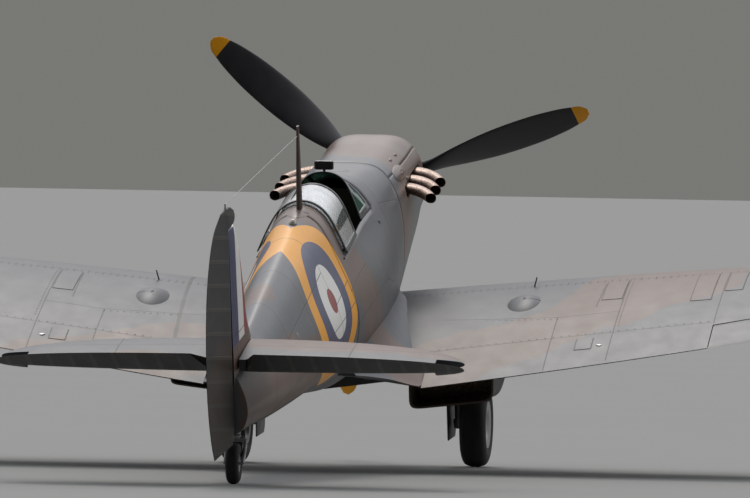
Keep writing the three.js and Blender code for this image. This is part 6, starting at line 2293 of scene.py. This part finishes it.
# The propeller has three solid blades, black with yellow tips. Their round roots come out of openings in a
# polished black spinner of spun sheet.
PROP_RADIUS = 1.640
BLADE_ANGLES = (20, 140, 260)
SPINNER = [  # station, radius
    (0, 0), (0.014, 0.062), (0.058, 0.130), (0.130, 0.200), (0.230, 0.262), (0.350, 0.306), (0.480, 0.334),
    (0.612, 0.344),
]
SPINNER_BACK = [(0.614, 0.340), (0.612, 0.060), (0.632, 0.060), (0.632, 0.0)]
SOCKET_RUN = (0.175, 0.3, 0.42)
SOCKET_RADIUS = 0.064
BLADE_ROWS = [  # radius, chord, thickness, pitch
    (0.176, 0.112, 0.112, 60), (0.300, 0.112, 0.108, 60), (0.400, 0.150, 0.082, 56),
    (0.560, 0.235, 0.052, 50), (0.800, 0.290, 0.036, 42), (1.080, 0.290, 0.027, 35),
    (1.340, 0.245, 0.019, 30), (1.520, 0.175, 0.013, 27), (1.610, 0.110, 0.009, 26),
    (PROP_RADIUS, 0.045, 0.006, 26),
]
BLADE_PITCH = 0.04
# Where the sections of a blade's tip lie, ever closer to its end
BLADE_TIP = (1.55, 1.58, 1.60, 1.615, 1.628, 1.636, PROP_RADIUS)
TIP_BAND = 0.105
BLADE_RUBBED = (0.05, 0.05, 0.048)


def blade_finish(shade):
    x, _, z = level_place(shade)
    tip = ((x * x + z * z) ** 0.5).step(PROP_RADIUS - TIP_BAND, DISC_EDGE)
    rub = shade.noise(9, 6)
    black = (rub * 0.4).choose(BLACK, BLADE_RUBBED)
    return {"Base_Color": tip.choose(black, YELLOW), "Roughness": 0.32 + rub * 0.2}


blade_paint = material("blade paint", blade_finish)


def radial(angle, radius):
    turn = math.radians(angle)
    return np.array([radius * math.cos(turn), PROP_STATION, radius * math.sin(turn)])


nose_rows = [smooth(listed(SPINNER), t).clip(0) for t in np.linspace(0, len(SPINNER) - 1, 57)]
spinner = turned("spinner_shell", [*nose_rows, *SPINNER_BACK], (0, 0, 0), (0, 1, 0), 96)
sockets = [tube("socket", [radial(a, r) for r in SOCKET_RUN], [SOCKET_RADIUS] * 3, 40) for a in BLADE_ANGLES]
spinner = largest(carve(spinner, *sockets))
fitted(coated(spinner, black_enamel), "propeller", "black_paint", "spinner")


def blade_ring(angle, radius):
    chord, thick, pitch = smooth(BLADE_ROWS, radius)
    turn = circle(36)
    a, b = np.cos(turn) * chord / 2, np.sin(turn) * thick / 2
    lean = math.radians(90 - pitch)
    across = a * math.cos(lean) - b * math.sin(lean)
    ahead = a * math.sin(lean) + b * math.cos(lean)
    sweep = np.array([-math.sin(math.radians(angle)), 0, math.cos(math.radians(angle))])
    return radial(angle, radius) - ahead[:, None] * sweep - across[:, None] * (0, 1, 0)


blade_radii = [*spread(BLADE_ROWS[0][0], BLADE_ROWS[-3][0], BLADE_PITCH), *BLADE_TIP]
for index, angle in enumerate(BLADE_ANGLES, 1):
    blade = lofted(f"blade_{index}", [blade_ring(angle, r) for r in blade_radii])
    fitted(coated(blade, blade_paint), "propeller", "black_paint", f"propeller_blade_{index}")

# The pitot head is a bare tube, pointing ahead, on a bent arm that is screwed to the port wing's lower
# skin.
PITOT_AT = (4.250, 2.650)
PITOT_ARM = (0, -0.060, -0.150)
PITOT_SCREWED = (0, 0, -0.006)
PITOT_ARM_RADII = (0.014, 0.013, 0.012)
# Distance ahead of the arm and radius
PITOT_HEAD = [(0, 0.012), (0.16, 0.011), (0.31, 0.009), (0.33, 0.008)]
root = wing_top(-1, *PITOT_AT, HAIR, -1)
low = root + PITOT_ARM
head_path = [low - (0, ahead, 0) for ahead, _ in PITOT_HEAD]
pitot_parts = [
    tube("arm", [root + PITOT_SCREWED, between(root, low, 0.5), low], PITOT_ARM_RADII, 20),
    tube("head", head_path, [radius for _, radius in PITOT_HEAD], 20),
]
pitot = merge("pitot_tube", [coated(piece, bare_metal) for piece in pitot_parts])
fitted(pitot, "airframe", "bare_metal", "pitot_head")
